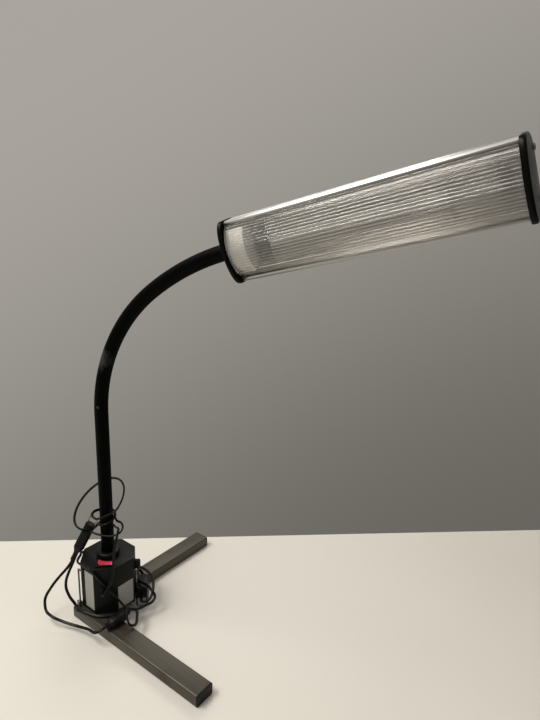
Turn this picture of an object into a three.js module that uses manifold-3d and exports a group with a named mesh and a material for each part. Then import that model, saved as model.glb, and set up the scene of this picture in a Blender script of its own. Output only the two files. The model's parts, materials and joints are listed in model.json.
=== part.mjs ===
// Portable work light: a long lamp head on a gooseneck, carried by a magnetic base that stands on a
// welded L of steel tube. Millimetres, +Z up. The two legs' centre lines cross at the origin, on the
// table; the front leg runs along +X and the rear leg along +Y. Each named size below is a real size.
import * as THREE from "three";
import { mergeVertices } from "three/addons/utils/BufferGeometryUtils.js";
import Module from "manifold-3d";

const wasm = await Module();
wasm.setup();

// Clearances
const seatGap = 0.3;          // between two pieces that touch
const slipGap = 0.4;          // round a piece that passes through or turns in another
const overrun = 2;            // how far a cutter reaches past the face that it cuts

// Stand: rectangular tube, 1 1/4 by 3/4 inch, in two legs of 11 and 10 inches
const legWidth = 31.75;
const legHeight = 19.05;
const legWall = 1.6;
const legCorner = 2.4;
const frontLegLength = 279.4;
const rearLegLength = 254;
const capFlange = 1.6;
const capPlugDepth = 11;
const weldBead = 3.6;
const weldSetback = 1.5;
const weldProud = 1.4;

// Stop: a block at the stand's corner with a steel strip up the housing's edge, bent over at the top
const stopFootHeight = 9;
const stopFootLength = 5.8;
const stopFootWidth = 5.8;
const stopFootInset = 5.6;        // from the front leg's near side
const stopThickness = 1.8;
const stopWidth = 2.6;
const stopHeight = 60.5;
const stopTabReach = 9;

// Magnetic base: an octagonal housing round a magnet with two steel shoes
const baseX = 9;
const baseY = 38;
const housingAcross = 84;
const housingHeight = 83;
const housingLift = 0.9;
const housingWall = 3;
const housingEdge = 1.2;
const floorThickness = 2.5;
const floorLift = 1.2;
const postRadius = 3.6;
const postInset = 6.2;
const postCount = 2;
const screwRadius = 1.4;
const screwLength = 12;
const screwHeadRadius = 2.8;
const screwHeadHeight = 1.6;
const magnetLength = 48;
const magnetWidth = 50;
const shoeThickness = 9;
const shoeHeight = 20;
const magnetLift = 2;
const yokeThickness = 6;
const boardLength = 52;
const boardWidth = 44;
const boardThickness = 1.6;
const boardLift = 5;
const boardLegRadius = 2;
const chokeLength = 20;
const chokeWidth = 18;
const chokeHeight = 16;
const chokeOffset = 9;
const capacitorRadius = 6;
const capacitorHeight = 15;
const capacitorOffset = 13;

// Blank plates on the housing's two flat faces
const plateThickness = 0.5;
const tallPlateWidth = 22;
const tallPlateHeight = 66;
const tallPlateShift = 5;
const tallPlateBottom = 6;
const squarePlateWidth = 30;
const squarePlateHeight = 42;
const squarePlateBottom = 5;

// Rocker switch, 31 by 14 millimetre flange, behind the chamfer that faces forward and to the left
const rockerOffset = 29.5;
const rockerFlangeLength = 31;
const rockerFlangeWidth = 14;
const rockerFlangeHeight = 1.8;
const rockerCaseLength = 27;
const rockerCaseWidth = 11.6;
const rockerCaseDepth = 17;
const rockerCaseFloor = 6;
const rockerOpeningLength = 25.4;
const rockerOpeningWidth = 9.6;
const rockerButtonLength = 24.2;
const rockerButtonWidth = 8.8;
const rockerButtonRise = 4.2;
const rockerButtonDip = 1.6;
const rockerButtonShoulder = 1.05; // where its ends begin to slope in
const rockerButtonKeel = 6;
const rockerKeelShare = 0.55;
const rockerRestTilt = 9;     // degrees: the switch lies at off, one end pressed in

// Fuse holder in the rear right chamfer
const fuseHeight = 61;
const fuseFlangeRadius = 8.6;
const fuseFlangeThickness = 1.6;
const fuseBodyRadius = 6;
const fuseBodyLength = 27;
const fuseBoreRadius = 3.6;
const fuseRadius = 2.6;
const fuseLength = 20;
const fuseCapRadius = 8.2;
const fuseCapHeight = 7.4;
const fuseCapEdge = 2.5;
const fuseCapSpigot = 3;
const fuseSlotWidth = 1.8;
const fuseSlotDepth = 1.5;

// Strain relief on the front chamfer
const reliefHeight = 47;
const reliefShift = -3;           // along the chamfer
const reliefFlangeRadius = 5.6;
const reliefFlangeThickness = 1.6;
const reliefRootRadius = 4.4;
const reliefTipRadius = 3.2;
const reliefLength = 8;
const reliefPlugRadius = 3.6;
const reliefPlugLength = 8;

// Gooseneck: its length is left straight, then bent in two curves towards the head
const neckRadius = 10.6;
const neckBoreRadius = 5;
const neckStraight = 249;
const neckFirstBend = 53.5;       // degrees
const neckFirstBendLength = 230;
const neckSecondBend = 22.2;      // degrees
const neckSecondBendLength = 152;
const neckStartHeading = 18.3;    // degrees in plan, from the front leg towards the rear leg
const neckEndHeading = 3.7;
const neckTail = 14;              // its threaded end below the housing's top
const jointShares = [0.237, 0.383, 0.53, 0.676, 0.822, 0.968];
const cupHeight = 5;              // from a joint's centre to the rim of the cup above it
const neckSides = 18;
const boreSides = 10;
const linkSteps = 6;
const collarRadius = 18.5;
const collarHeight = 9;
const collarEdge = 3;
const collarTailRadius = 14;
const glandNutAcross = 36;
const glandNutHeight = 6;

// Lamp head: an aluminium channel closed by a ribbed lens, with a moulded cap on each end
const lensLength = 323;
const headTwist = 14.5;           // degrees: turns the lens towards the table
const neckEntryDepth = 18;        // from the lips' face to the neck's centre line
const channelHalfHeight = 37.5;
const channelBackHalfHeight = 27;
const channelDepth = 36;
const channelShoulderDepth = 22;
const channelWall = 1.6;
const channelBevel = 2.4;         // along the channel's two front corners
const lipHeight = 4.6;
const portRadius = 3.2;           // screw ports along the channel's back corners
const portSpacing = 46;
const portSink = 0.8;             // how far a port's round sinks into the wall behind it
const lensThickness = 1.5;
const lensRise = 13;
const ribCount = 18;
const ribRelief = 0.8;
const ribbedShare = 0.88;         // of the lens's arc, from its top edge; the rest is smooth
const smoothSteps = 4;
const innerSteps = 12;
const endCapThickness = 6;
const endCapRim = 1.2;
const endCapEdge = 2;
const neckBossHeight = 4;         // the round boss on the near cap, which the neck's end meets
const neckBossRadius = 15;
const noseSteps = 10;
const capScrewRadius = 1.4;
const capScrewHeadRadius = 3.4;
const capScrewHeadHeight = 1.4;
const capScrewGrip = 9;
const tailRadius = 6.5;           // the neck's threaded end, through the near cap
const tailBoreRadius = 4;
const tailNutAcross = 19;
const tailNutHeight = 5;
const tailProud = 1.2;
const reflectorThickness = 0.8;
const reflectorDepth = 24;
const reflectorBackRoom = 0.2;    // between the clip's arms and the reflector's back corners
const holderLength = 25;
const holderHalfHeight = 27;
const holderDepth = 21;
const holderFace = 2.5;
const holderNoseGap = 1;          // between its bowed front and the lens
const holderNoseSteps = 14;
const nutPocket = 26;
const lampPlugLength = 8;
const lampPlugWidth = 12;
const lampBaseLength = 20;
const lampBaseHalfHeight = 16;
const lampBaseDepth = 14;
const lampTubeRadius = 6.1;
const lampTubeSpacing = 19;
const lampTubeLength = 208;
const lampBridgeInset = 14;
const lampBridgeRadius = 4;
const clipWidth = 8;
const clipThickness = 1;
const clipInset = 18;             // from the tubes' far end

// Cords: lead, plug, in-line coupler and the small supply unit that stands beside the housing
const cordRadius = 2.3;
const cordSides = 6;
const cordStep = 7;
const cordStub = 5;               // straight at each end
const loopSteps = 24;
const selfReach = 16;             // stretches closer than this along the cord aren't compared
const supplyX = 37.5;
const supplyY = 84.5;
const supplyLength = 38;
const supplyWidth = 19;
const supplyHeight = 36;
const supplyCorner = 2.5;
const leadExitHeight = 24;
const tailExitHeight = 22;
const couplerX = 70;
const couplerLength = 46;
const couplerMiddle = 5;          // where its two halves meet, from the front leg's centre line
const couplerWidth = 17;
const couplerHeight = 16;
const couplerEdge = 2;
const couplerNeckWidth = 9;
const couplerTaper = 9;
const plugWidth = 17;
const plugThickness = 13;
const plugEdge = 2;
const plugNeckWidth = 8;
const plugNeckLength = 14;
const plugShoulder = 27;
const prongLength = 16;
const prongWidth = 6.3;
const prongThickness = 1.5;
const prongSpacing = 12.7;

// Places along the cords, chosen by hand
const plugLow = [-36.8, 0.2, 91.2];
const plugTop = [-16, 25.6, 155.2];
const plugAcross = [-0.794, -0.443, 0.416];
// From the supply unit round the housing's foot, up its left side and once round the neck
const leadFirstPoints = [
  [15, 104.5, 27.5], [10, 102, 35.5], [13.5, 94, 41], [25, 86.5, 41.5], [38.5, 77.3, 41.5],
  [57, 78, 41], [71.2, 76.4, 38], [79.7, 75.3, 31], [81, 68.6, 26], [77.1, 57.8, 24],
  [72.1, 43, 23], [56.3, 28, 23.2], [55.3, 18, 22.2], [47.5, 5, 22], [38, -4.5, 22],
  [27, -9.5, 22], [12, -14, 22.5], [0, -20.3, 25], [-7.6, -18.1, 29.6], [-15.4, -22.2, 42.6],
  [-24.6, -22.2, 55.3], [-31.7, -16.8, 64], [-38.3, -6.2, 72.2], [-44.6, 5.6, 79.2],
  [-44.4, 14.1, 93.1], [-38, 22.6, 112.7], [-29, 31.1, 130.4], [-3.3, 48.3, 163],
  [5.3, 51.7, 166.5], [13.9, 51.3, 166], [19.7, 50.3, 162.6], [27.7, 52, 161.8],
  [34.2, 50.2, 157.3], [36.2, 44.8, 152], [33.6, 37.9, 148.6], [27.1, 31.2, 146.4],
  [15.3, 25, 146.1], [2.6, 20.8, 145.9], [-8.2, 16.3, 148.5],
];

// The large loop round the neck: a tilted ellipse, opening a little as it goes
const ringCentre = [-2.6, 32.4, 192.9];
const ringLongAxis = [8.6, 41.7, 28.1];
const ringShortAxis = [-27.5, 1.1, 15.9];
const ringStart = 195;            // degrees
const ringEnd = -55;
const ringStartShare = 0.9;
// The small loop left of the neck
const leadSmallLoopPoints = [
  [33, 37.2, 191], [26.8, 31.1, 186.1], [18.8, 26.2, 181.1], [9.9, 22.9, 175.2], [0, 21.4, 173.2],
  [-6.7, 21.5, 176.8], [-7.5, 27.3, 180.4], [-6.1, 36, 180.5],
];

// The winding on the neck: a helix that comes down round it
const windingGap = 0.9;
const windingStart = 160;         // degrees
const windingEnd = -285;
const windingTop = 182.5;
const windingBottom = 148.5;
// Down over the switch to the strain relief
const leadLastPoints = [
  [16.3, 50.6, 149], [27.1, 46.5, 154], [35, 40.4, 156.8], [41.9, 33.4, 155.4],
  [45.7, 27.7, 148.9], [48.1, 22.1, 138.3], [50.4, 17.7, 123.5], [53.5, 13.8, 108.7],
  [56.2, 9.2, 96.2], [58.8, 3.1, 87.2], [52.6, -5.8, 68.5],
];
// The supply unit's tail: from the coupler across the housing's front and round its back
const tailPoints = [
  [75, 38.5, 27], [89.7, 28.3, 24.5], [97.6, 18.5, 23], [95, 11.4, 25], [91.5, 8.2, 35],
  [85.7, 12.3, 46], [57, 23.2, 40.4], [52.5, 13.6, 58.3], [43.8, 8.3, 69.4], [37.4, 2.2, 81.1],
  [31.4, -4.1, 94], [23.3, -8, 102.6], [9.3, -8.2, 103.6], [-8, -9, 104.5], [-16, -1.5, 104.5],
  [-24.5, 8, 101.5], [-34.8, 16.2, 97], [-37.2, 28, 92], [-37, 48, 80], [-32, 70, 64],
  [-19, 89, 50], [-2, 103, 40], [16, 112, 32], [34, 110, 26.5], [49, 99, 24], [61, 86, 23],
  [67.5, 76, 22.5], [69.2, 68.5, 22], [67.4, 63.3, 22], [63, 61.3, 22], [58.8, 63.3, 22],
];
// The mains lead, from the plug to the coupler
const mainsPoints = [
  [-37.3, -12, 79.7], [-41.2, -21.8, 70.1], [-47.6, -34.5, 53.4], [-51.6, -44.5, 35.4],
  [-45.7, -48.3, 18.5], [-26.4, -49.6, 17], [-8.2, -41.9, 12], [16.7, -33.1, 11],
  [41.2, -29.7, 16], [64, -31, 23],
];

// Sides of round pieces
const fine = 32;
const medium = 24;
const coarse = 14;

// Finishes
function finish(color, roughness, metalness = 0) {
  return new THREE.MeshStandardMaterial({ color, roughness, metalness });
}

const millSteel = finish(0x77706a, 0.5, 0.85);
const plainSteel = finish(0x9a9a98, 0.4, 0.9);
const blackPlastic = finish(0x17181a, 0.55);
const housingBlack = finish(0x222624, 0.6);
const neckRubber = finish(0x141517, 0.5);
const magnetGrey = finish(0x3a3a3c, 0.8);
const circuitGreen = finish(0x1f5a34, 0.5);
const copperTape = finish(0xb98a3c, 0.5, 0.3);
const plateWhite = finish(0xd9dcd6, 0.5);
const rockerRed = finish(0xc01f34, 0.3);
const aluminium = finish(0xd5d7d8, 0.35, 0.9);
const clearLens = finish(0xd8d8d4, 0.15);
clearLens.transparent = true;
clearLens.opacity = 0.45;
const lampWhite = finish(0xf3f3ee, 0.3);
const holderWhite = finish(0xe9e9e2, 0.5);
const fuseGlass = finish(0xcfd8d6, 0.1);
const brass = finish(0xb8963e, 0.35, 0.9);

const radians = THREE.MathUtils.degToRad;

// A closed three.js geometry as a solid that can be joined and cut, and back again
function solid(geometry) {
  const bare = geometry.clone();
  bare.deleteAttribute("normal");
  bare.deleteAttribute("uv");
  const merged = mergeVertices(bare);
  const mesh = new wasm.Mesh({
    numProp: 3,
    vertProperties: new Float32Array(merged.attributes.position.array),
    triVerts: new Uint32Array(merged.index.array),
  });
  return new wasm.Manifold(mesh);
}

function asGeometry(manifold) {
  const mesh = manifold.getMesh();
  const geometry = new THREE.BufferGeometry();
  geometry.setAttribute("position", new THREE.BufferAttribute(new Float32Array(mesh.vertProperties), 3));
  geometry.setIndex(new THREE.BufferAttribute(new Uint32Array(mesh.triVerts), 1));
  geometry.computeVertexNormals();
  return geometry;
}

function piece(name, form, material, parent) {
  const geometry = form.isBufferGeometry ? form : asGeometry(form);
  const mesh = new THREE.Mesh(geometry, material);
  mesh.name = name;
  parent.add(mesh);
  return mesh;
}

// Basic forms, each centred on Z and rising from z = 0 unless it says otherwise
function outline(points) {
  return new THREE.Shape(points.map(([x, y]) => new THREE.Vector2(x, y)));
}

function roundedRectangle(width, height, corner) {
  const shape = new THREE.Shape();
  const x = width / 2 - corner;
  const y = height / 2 - corner;
  shape.absarc(x, y, corner, 0, Math.PI / 2);
  shape.absarc(-x, y, corner, Math.PI / 2, Math.PI);
  shape.absarc(-x, -y, corner, Math.PI, 1.5 * Math.PI);
  shape.absarc(x, -y, corner, 1.5 * Math.PI, 2 * Math.PI);
  return shape;
}

function octagon(across) {
  const corner = across / 2 / Math.cos(Math.PI / 8);
  const points = [];
  for (let i = 0; i < 8; i += 1) {
    const angle = Math.PI / 8 + (i * Math.PI) / 4;
    points.push([corner * Math.cos(angle), corner * Math.sin(angle)]);
  }
  return outline(points);
}

function hexagon(across) {
  const corner = across / 2 / Math.cos(Math.PI / 6);
  const points = [];
  for (let i = 0; i < 6; i += 1) {
    points.push([corner * Math.cos((i * Math.PI) / 3), corner * Math.sin((i * Math.PI) / 3)]);
  }
  return outline(points);
}

function prism(shape, depth) {
  return new THREE.ExtrudeGeometry(shape, { depth, bevelEnabled: false, curveSegments: 3 });
}

function block(x, y, z) {
  return new THREE.BoxGeometry(x, y, z).translate(0, 0, z / 2);
}

function rod(radius, length, sides) {
  const geometry = new THREE.CylinderGeometry(radius, radius, length, sides);
  return geometry.rotateX(Math.PI / 2).translate(0, 0, length / 2);
}

function turned(profile, sides) {
  const points = profile.map(([r, z]) => new THREE.Vector2(r, z));
  return new THREE.LatheGeometry(points, sides).rotateX(Math.PI / 2);
}

// Turns a form that rises along Z so that it runs along X or along Y
const alongX = (geometry) => geometry.rotateY(Math.PI / 2);
const alongY = (geometry) => geometry.rotateX(-Math.PI / 2);

// Stand
function tube(length) {
  const section = roundedRectangle(legWidth, legHeight, legCorner);
  const inside = roundedRectangle(legWidth - 2 * legWall, legHeight - 2 * legWall, legCorner - legWall);
  section.holes.push(new THREE.Path(inside.getPoints(3).reverse()));
  return prism(section, length);
}

// An end cap whose flange lies on the cut end at z = 0 and whose plug goes down into the tube
function tubeCap() {
  const face = prism(roundedRectangle(legWidth, legHeight, legCorner), capFlange).translate(0, 0, seatGap);
  const bore = legWall + slipGap;
  const section = roundedRectangle(legWidth - 2 * bore, legHeight - 2 * bore, legCorner / 2);
  const plug = prism(section, capPlugDepth + 2 * seatGap).translate(0, 0, -capPlugDepth);
  return solid(face).add(solid(plug));
}

function buildStand() {
  const stand = new THREE.Group();
  const half = legWidth / 2;
  const lower = legHeight / 2;

  const frontLeg = piece("front_leg", alongX(tube(frontLegLength).rotateZ(Math.PI / 2)), millSteel, stand);
  frontLeg.position.set(-half, 0, lower);
  const rearStart = half + seatGap;
  const rearLeg = piece("rear_leg", alongY(tube(rearLegLength)), millSteel, stand);
  rearLeg.position.set(0, rearStart, lower);

  const turnedCap = () => asGeometry(tubeCap()).rotateZ(Math.PI / 2);
  const frontCap = piece("front_leg_cap", alongX(turnedCap()), blackPlastic, stand);
  frontCap.position.set(frontLegLength - half, 0, lower);
  const cornerCap = piece("corner_cap", alongX(turnedCap()).rotateZ(Math.PI), blackPlastic, stand);
  cornerCap.position.set(-half, 0, lower);
  const rearCap = piece("rear_leg_cap", alongY(asGeometry(tubeCap())), blackPlastic, stand);
  rearCap.position.set(0, rearStart + rearLegLength, lower);

  const beadHeight = legHeight - 2 * (legCorner + weldSetback);
  const throat = weldBead * Math.SQRT1_2;
  const fillet = outline([[seatGap, seatGap], [weldBead, seatGap], [throat, throat], [seatGap, weldBead]]);
  const innerWeld = piece("inner_weld", prism(fillet, beadHeight), plainSteel, stand);
  innerWeld.position.set(half, half, legCorner + weldSetback);
  const crown = weldBead / 2;
  const strap = outline([[-weldBead, 0], [weldBead, 0], [crown, weldProud], [-crown, weldProud]]);
  const outerWeld = piece("outer_weld", prism(strap, beadHeight).rotateZ(Math.PI / 2), plainSteel, stand);
  outerWeld.position.set(-half - seatGap, rearStart + weldBead, legCorner + weldSetback);

  stand.add(buildStop());
  return stand;
}

function buildStop() {
  const stop = new THREE.Group();
  const foot = solid(block(stopFootLength, stopFootWidth, stopFootHeight));
  const strip = solid(block(stopThickness, stopWidth, stopFootHeight / 2 + stopHeight));
  const tab = solid(block(stopTabReach + stopThickness, stopWidth, stopThickness));
  const right = stopFootLength / 2 - stopThickness;
  const middle = stopFootWidth / 2 - stopWidth;
  const upright = strip.translate(right + stopThickness / 2, middle, stopFootHeight / 2);
  const tabHeight = stopFootHeight + stopHeight - stopThickness / 2;
  const turnedTab = tab.translate(right + (stopTabReach + stopThickness) / 2, middle, tabHeight);
  piece("base_stop", foot.add(upright).add(turnedTab), plainSteel, stop);
  const inset = seatGap - legWidth / 2;
  const across = inset + stopFootInset + stopFootWidth / 2;
  stop.position.set(inset + stopFootLength / 2, across, legHeight + seatGap);
  return stop;
}

// Magnetic base
function buildBase() {
  const base = new THREE.Group();
  base.position.set(baseX, baseY, legHeight);
  const top = housingLift + housingHeight;
  const apothem = housingAcross / 2;
  const postReach = apothem / Math.cos(Math.PI / 8) - housingWall - postInset;
  const floorTop = housingLift + floorLift + floorThickness;
  const posts = [];
  for (let i = 0; i < postCount; i += 1) {
    const angle = Math.PI / 8 + (i * 2 * Math.PI) / postCount;
    posts.push([postReach * Math.cos(angle), postReach * Math.sin(angle)]);
  }

  // Shell, open below, with its openings for the neck, the switch, the fuse holder and the cord
  const rounded = new THREE.ExtrudeGeometry(octagon(housingAcross - 2 * housingEdge), {
    depth: housingHeight,
    bevelThickness: housingEdge,
    bevelSize: housingEdge,
    bevelSegments: 2,
  });
  let shell = solid(rounded.translate(0, 0, housingLift - housingEdge));
  const room = prism(octagon(housingAcross - 2 * housingWall), housingHeight - housingWall + overrun);
  shell = shell.subtract(solid(room.translate(0, 0, housingLift - overrun)));
  const lowerEdge = 2 * housingEdge + overrun;
  const trimWidth = housingAcross + overrun;
  const trim = block(trimWidth, trimWidth, lowerEdge).translate(0, 0, housingLift - lowerEdge);
  shell = shell.subtract(solid(trim));
  for (const [x, y] of posts) {
    const postLength = top - housingWall / 2 - floorTop - seatGap;
    const post = rod(postRadius, postLength, coarse).translate(x, y, floorTop + seatGap);
    const hole = rod(screwRadius + slipGap, screwLength, coarse).translate(x, y, floorTop - overrun);
    shell = shell.add(solid(post)).subtract(solid(hole));
  }
  const wallCut = housingWall + 2 * overrun;
  const belowTop = top - housingWall - overrun;
  shell = shell.subtract(solid(rod(collarTailRadius + slipGap, wallCut, medium).translate(0, 0, belowTop)));
  const slotLength = rockerCaseLength + 2 * slipGap;
  const slotWidth = rockerCaseWidth + 2 * slipGap;
  const rockerSlot = block(slotLength, slotWidth, wallCut).translate(0, -rockerOffset, belowTop);
  shell = shell.subtract(solid(rockerSlot.rotateZ(Math.PI / 4)));
  const insideWall = apothem - housingWall - overrun;
  const fuseHole = alongX(rod(fuseBodyRadius + slipGap, wallCut, medium));
  fuseHole.translate(insideWall, 0, fuseHeight);
  shell = shell.subtract(solid(fuseHole.rotateZ(Math.PI / 4)));
  const cordHole = alongX(rod(reliefPlugRadius + slipGap, wallCut, medium));
  cordHole.translate(insideWall, reliefShift, reliefHeight).rotateZ(-Math.PI / 4);
  shell = shell.subtract(solid(cordHole));
  piece("housing_shell", shell, housingBlack, base);

  // Floor, screwed up into the posts, with the magnet let through it
  const floorStart = housingLift + floorLift;
  const floorCut = floorThickness + 2 * overrun;
  const floorOutline = octagon(housingAcross - 2 * housingWall - 2 * seatGap);
  let floor = solid(prism(floorOutline, floorThickness).translate(0, 0, floorStart));
  const window = block(magnetLength + 2 * slipGap, magnetWidth + 2 * slipGap, floorCut);
  floor = floor.subtract(solid(window.translate(0, 0, floorStart - overrun)));
  for (const [x, y] of posts) {
    const hole = rod(screwRadius + slipGap, floorCut, coarse).translate(x, y, floorStart - overrun);
    const sink = rod(screwHeadRadius + slipGap, screwHeadHeight + seatGap + overrun, coarse);
    floor = floor.subtract(solid(hole)).subtract(solid(sink.translate(x, y, floorStart - overrun)));
  }
  piece("housing_floor", floor, blackPlastic, base);
  posts.forEach(([x, y], i) => {
    const head = solid(rod(screwHeadRadius, screwHeadHeight, coarse));
    const shank = solid(rod(screwRadius, screwHeadHeight + screwLength - overrun - slipGap, coarse));
    const screw = piece(`floor_screw_${i + 1}`, head.add(shank), plainSteel, base);
    screw.position.set(x, y, floorStart);
  });

  base.add(buildMagnet());
  base.add(buildBoard());
  base.add(buildPlates());
  return base;
}

function buildMagnet() {
  const magnet = new THREE.Group();
  magnet.position.z = seatGap;
  const shoe = () => block(magnetLength, shoeThickness, shoeHeight);
  const shoeReach = (magnetWidth - shoeThickness) / 2;
  piece("front_shoe", shoe(), plainSteel, magnet).position.y = -shoeReach;
  piece("rear_shoe", shoe(), plainSteel, magnet).position.y = shoeReach;
  const ferrite = block(magnetLength, magnetWidth - 2 * (shoeThickness + seatGap), shoeHeight - magnetLift);
  piece("ferrite_magnet", ferrite, magnetGrey, magnet).position.z = magnetLift;
  const yoke = piece("magnet_yoke", block(magnetLength, magnetWidth, yokeThickness), plainSteel, magnet);
  yoke.position.z = shoeHeight + seatGap;
  return magnet;
}

// Ballast board: it stands on the yoke on four short legs, with its choke and capacitor on top
function buildBoard() {
  const group = new THREE.Group();
  group.position.z = seatGap + shoeHeight + seatGap + yokeThickness + seatGap;
  let board = solid(block(boardLength, boardWidth, boardThickness).translate(0, 0, boardLift));
  for (const sx of [-1, 1]) {
    for (const sy of [-1, 1]) {
      const x = sx * (magnetLength / 2 - 2 * boardLegRadius);
      const y = sy * (boardWidth / 2 - 2 * boardLegRadius);
      const leg = rod(boardLegRadius, boardLift + boardThickness / 2, coarse);
      board = board.add(solid(leg.translate(x, y, 0)));
    }
  }
  piece("ballast_board", board, circuitGreen, group);
  const boardTop = boardLift + boardThickness + seatGap;
  const choke = piece("ballast_choke", block(chokeLength, chokeWidth, chokeHeight), copperTape, group);
  choke.position.set(-chokeOffset, chokeOffset, boardTop);
  const can = piece("ballast_capacitor", rod(capacitorRadius, capacitorHeight, coarse), magnetGrey, group);
  can.position.set(capacitorOffset, -capacitorOffset / 2, boardTop);
  return group;
}

function buildPlates() {
  const plates = new THREE.Group();
  const face = housingAcross / 2 + seatGap;
  const tallForm = block(tallPlateWidth, plateThickness, tallPlateHeight);
  const tall = piece("tall_plate", tallForm, plateWhite, plates);
  tall.position.set(tallPlateShift, -face - plateThickness / 2, housingLift + tallPlateBottom);
  const squareForm = block(plateThickness, squarePlateWidth, squarePlateHeight);
  const square = piece("square_plate", squareForm, plateWhite, plates);
  square.position.set(face + plateThickness / 2, 0, housingLift + squarePlateBottom);
  return plates;
}

const housingTop = legHeight + housingLift + housingHeight;

// Rocker switch: its length runs along the chamfer, and the button tips about a pin across it
function buildRocker() {
  const rocker = new THREE.Group();
  rocker.position.set(baseX, baseY, housingTop + seatGap);
  const turnedGroup = new THREE.Group();
  turnedGroup.rotation.z = Math.PI / 4;
  rocker.add(turnedGroup);
  const seat = new THREE.Group();
  seat.position.y = -rockerOffset;
  turnedGroup.add(seat);
  const flangeOutline = roundedRectangle(rockerFlangeLength, rockerFlangeWidth, rockerFlangeHeight / 2);
  const flange = solid(prism(flangeOutline, rockerFlangeHeight));
  const middle = rockerFlangeHeight / 2;
  const body = block(rockerCaseLength, rockerCaseWidth, rockerCaseDepth + middle);
  body.translate(0, 0, -rockerCaseDepth);
  const opening = block(rockerOpeningLength, rockerOpeningWidth, rockerCaseDepth);
  opening.translate(0, 0, rockerCaseFloor - rockerCaseDepth + middle);
  piece("rocker_case", flange.add(solid(body)).subtract(solid(opening)), blackPlastic, seat);
  const half = rockerButtonLength / 2;
  const keel = half * rockerKeelShare;
  const side = outline([
    [-half, rockerButtonRise],
    [-half, rockerButtonShoulder],
    [-keel, -rockerButtonKeel],
    [keel, -rockerButtonKeel],
    [half, rockerButtonShoulder],
    [half, rockerButtonRise],
    [0, rockerButtonDip],
  ]);
  const form = prism(side, rockerButtonWidth).translate(0, 0, -rockerButtonWidth / 2).rotateX(Math.PI / 2);
  const button = piece("rocker_button", form, rockerRed, seat);
  button.position.z = middle;
  button.rotation.y = radians(rockerRestTilt);
  return rocker;
}

// Fuse holder and its cap, along X and then turned to face out of the rear right chamfer
function buildFuse() {
  const fuse = new THREE.Group();
  fuse.position.set(baseX, baseY, legHeight + fuseHeight);
  fuse.rotation.z = Math.PI / 4;
  const face = housingAcross / 2;
  const flange = solid(alongX(rod(fuseFlangeRadius, fuseFlangeThickness, medium)));
  const barrel = alongX(rod(fuseBodyRadius, fuseBodyLength + fuseFlangeThickness / 2, medium));
  const bore = alongX(rod(fuseBoreRadius, fuseBodyLength + 2 * fuseFlangeThickness, coarse));
  const inside = solid(bore.translate(fuseFlangeThickness - fuseBodyLength, 0, 0));
  const holderForm = flange.add(solid(barrel.translate(-fuseBodyLength, 0, 0))).subtract(inside);
  const holder = piece("fuse_holder", holderForm, blackPlastic, fuse);
  holder.position.x = face + seatGap;
  const link = piece("fuse_link", alongX(rod(fuseRadius, fuseLength, coarse)), fuseGlass, fuse);
  link.position.x = face + seatGap - fuseBodyLength + fuseFlangeThickness + seatGap;
  const spigotRadius = fuseBoreRadius - slipGap;
  const dome = [
    [0, -fuseCapSpigot],
    [spigotRadius, -fuseCapSpigot],
    [spigotRadius, 0],
    [fuseCapRadius, 0],
    [fuseCapRadius, fuseCapHeight - fuseCapEdge],
    [fuseCapRadius - fuseCapEdge, fuseCapHeight],
    [0, fuseCapHeight],
  ];
  const slot = block(2 * fuseCapRadius + overrun, fuseSlotWidth, fuseSlotDepth + overrun);
  slot.translate(0, 0, fuseCapHeight - fuseSlotDepth);
  const capForm = solid(turned(dome, medium)).subtract(solid(slot));
  const cap = piece("fuse_cap", alongX(asGeometry(capForm)), blackPlastic, fuse);
  cap.position.x = face + seatGap + fuseFlangeThickness + seatGap;
  return fuse;
}

// Strain relief: a tapered sleeve on the front chamfer, with its plug through the wall
function buildRelief() {
  const relief = new THREE.Group();
  relief.position.set(baseX, baseY, legHeight + reliefHeight);
  relief.rotation.z = -Math.PI / 4;
  const profile = [
    [0, -reliefPlugLength],
    [reliefPlugRadius, -reliefPlugLength],
    [reliefPlugRadius, 0],
    [reliefFlangeRadius, 0],
    [reliefFlangeRadius, reliefFlangeThickness],
    [reliefRootRadius, reliefFlangeThickness],
    [reliefTipRadius, reliefLength],
    [0, reliefLength],
  ];
  const sleeve = piece("strain_relief", alongX(turned(profile, coarse)), blackPlastic, relief);
  sleeve.position.set(housingAcross / 2 + seatGap, reliefShift, 0);
  return relief;
}

// Gooseneck: the lean from the vertical and the heading in plan at a distance along its centre line
const neckLength = neckStraight + neckFirstBendLength + neckSecondBendLength;

function neckDirection(distance) {
  const along = Math.min(Math.max(distance, 0), neckLength);
  const bent = Math.max(along - neckStraight, 0);
  const first = Math.min(bent / neckFirstBendLength, 1);
  const second = Math.max(bent - neckFirstBendLength, 0) / neckSecondBendLength;
  const lean = radians(neckFirstBend * first + neckSecondBend * second);
  const turn = bent / (neckFirstBendLength + neckSecondBendLength);
  const heading = radians(neckStartHeading + (neckEndHeading - neckStartHeading) * turn);
  const level = Math.sin(lean);
  return new THREE.Vector3(level * Math.cos(heading), level * Math.sin(heading), Math.cos(lean));
}

function neckPoint(distance) {
  const point = new THREE.Vector3(baseX, baseY, housingTop);
  const steps = 240;
  for (let i = 0; i < steps; i += 1) {
    point.addScaledVector(neckDirection(((i + 0.5) / steps) * distance), distance / steps);
  }
  return point;
}

class NeckStretch extends THREE.Curve {
  constructor(from, to, about) {
    super();
    this.from = from;
    this.to = to;
    this.about = about;
    this.arcLengthDivisions = 12;
  }

  getPoint(t) {
    return neckPoint(this.from + (this.to - this.from) * t).sub(this.about);
  }

  getTangent(t) {
    return neckDirection(this.from + (this.to - this.from) * t);
  }
}

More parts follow.
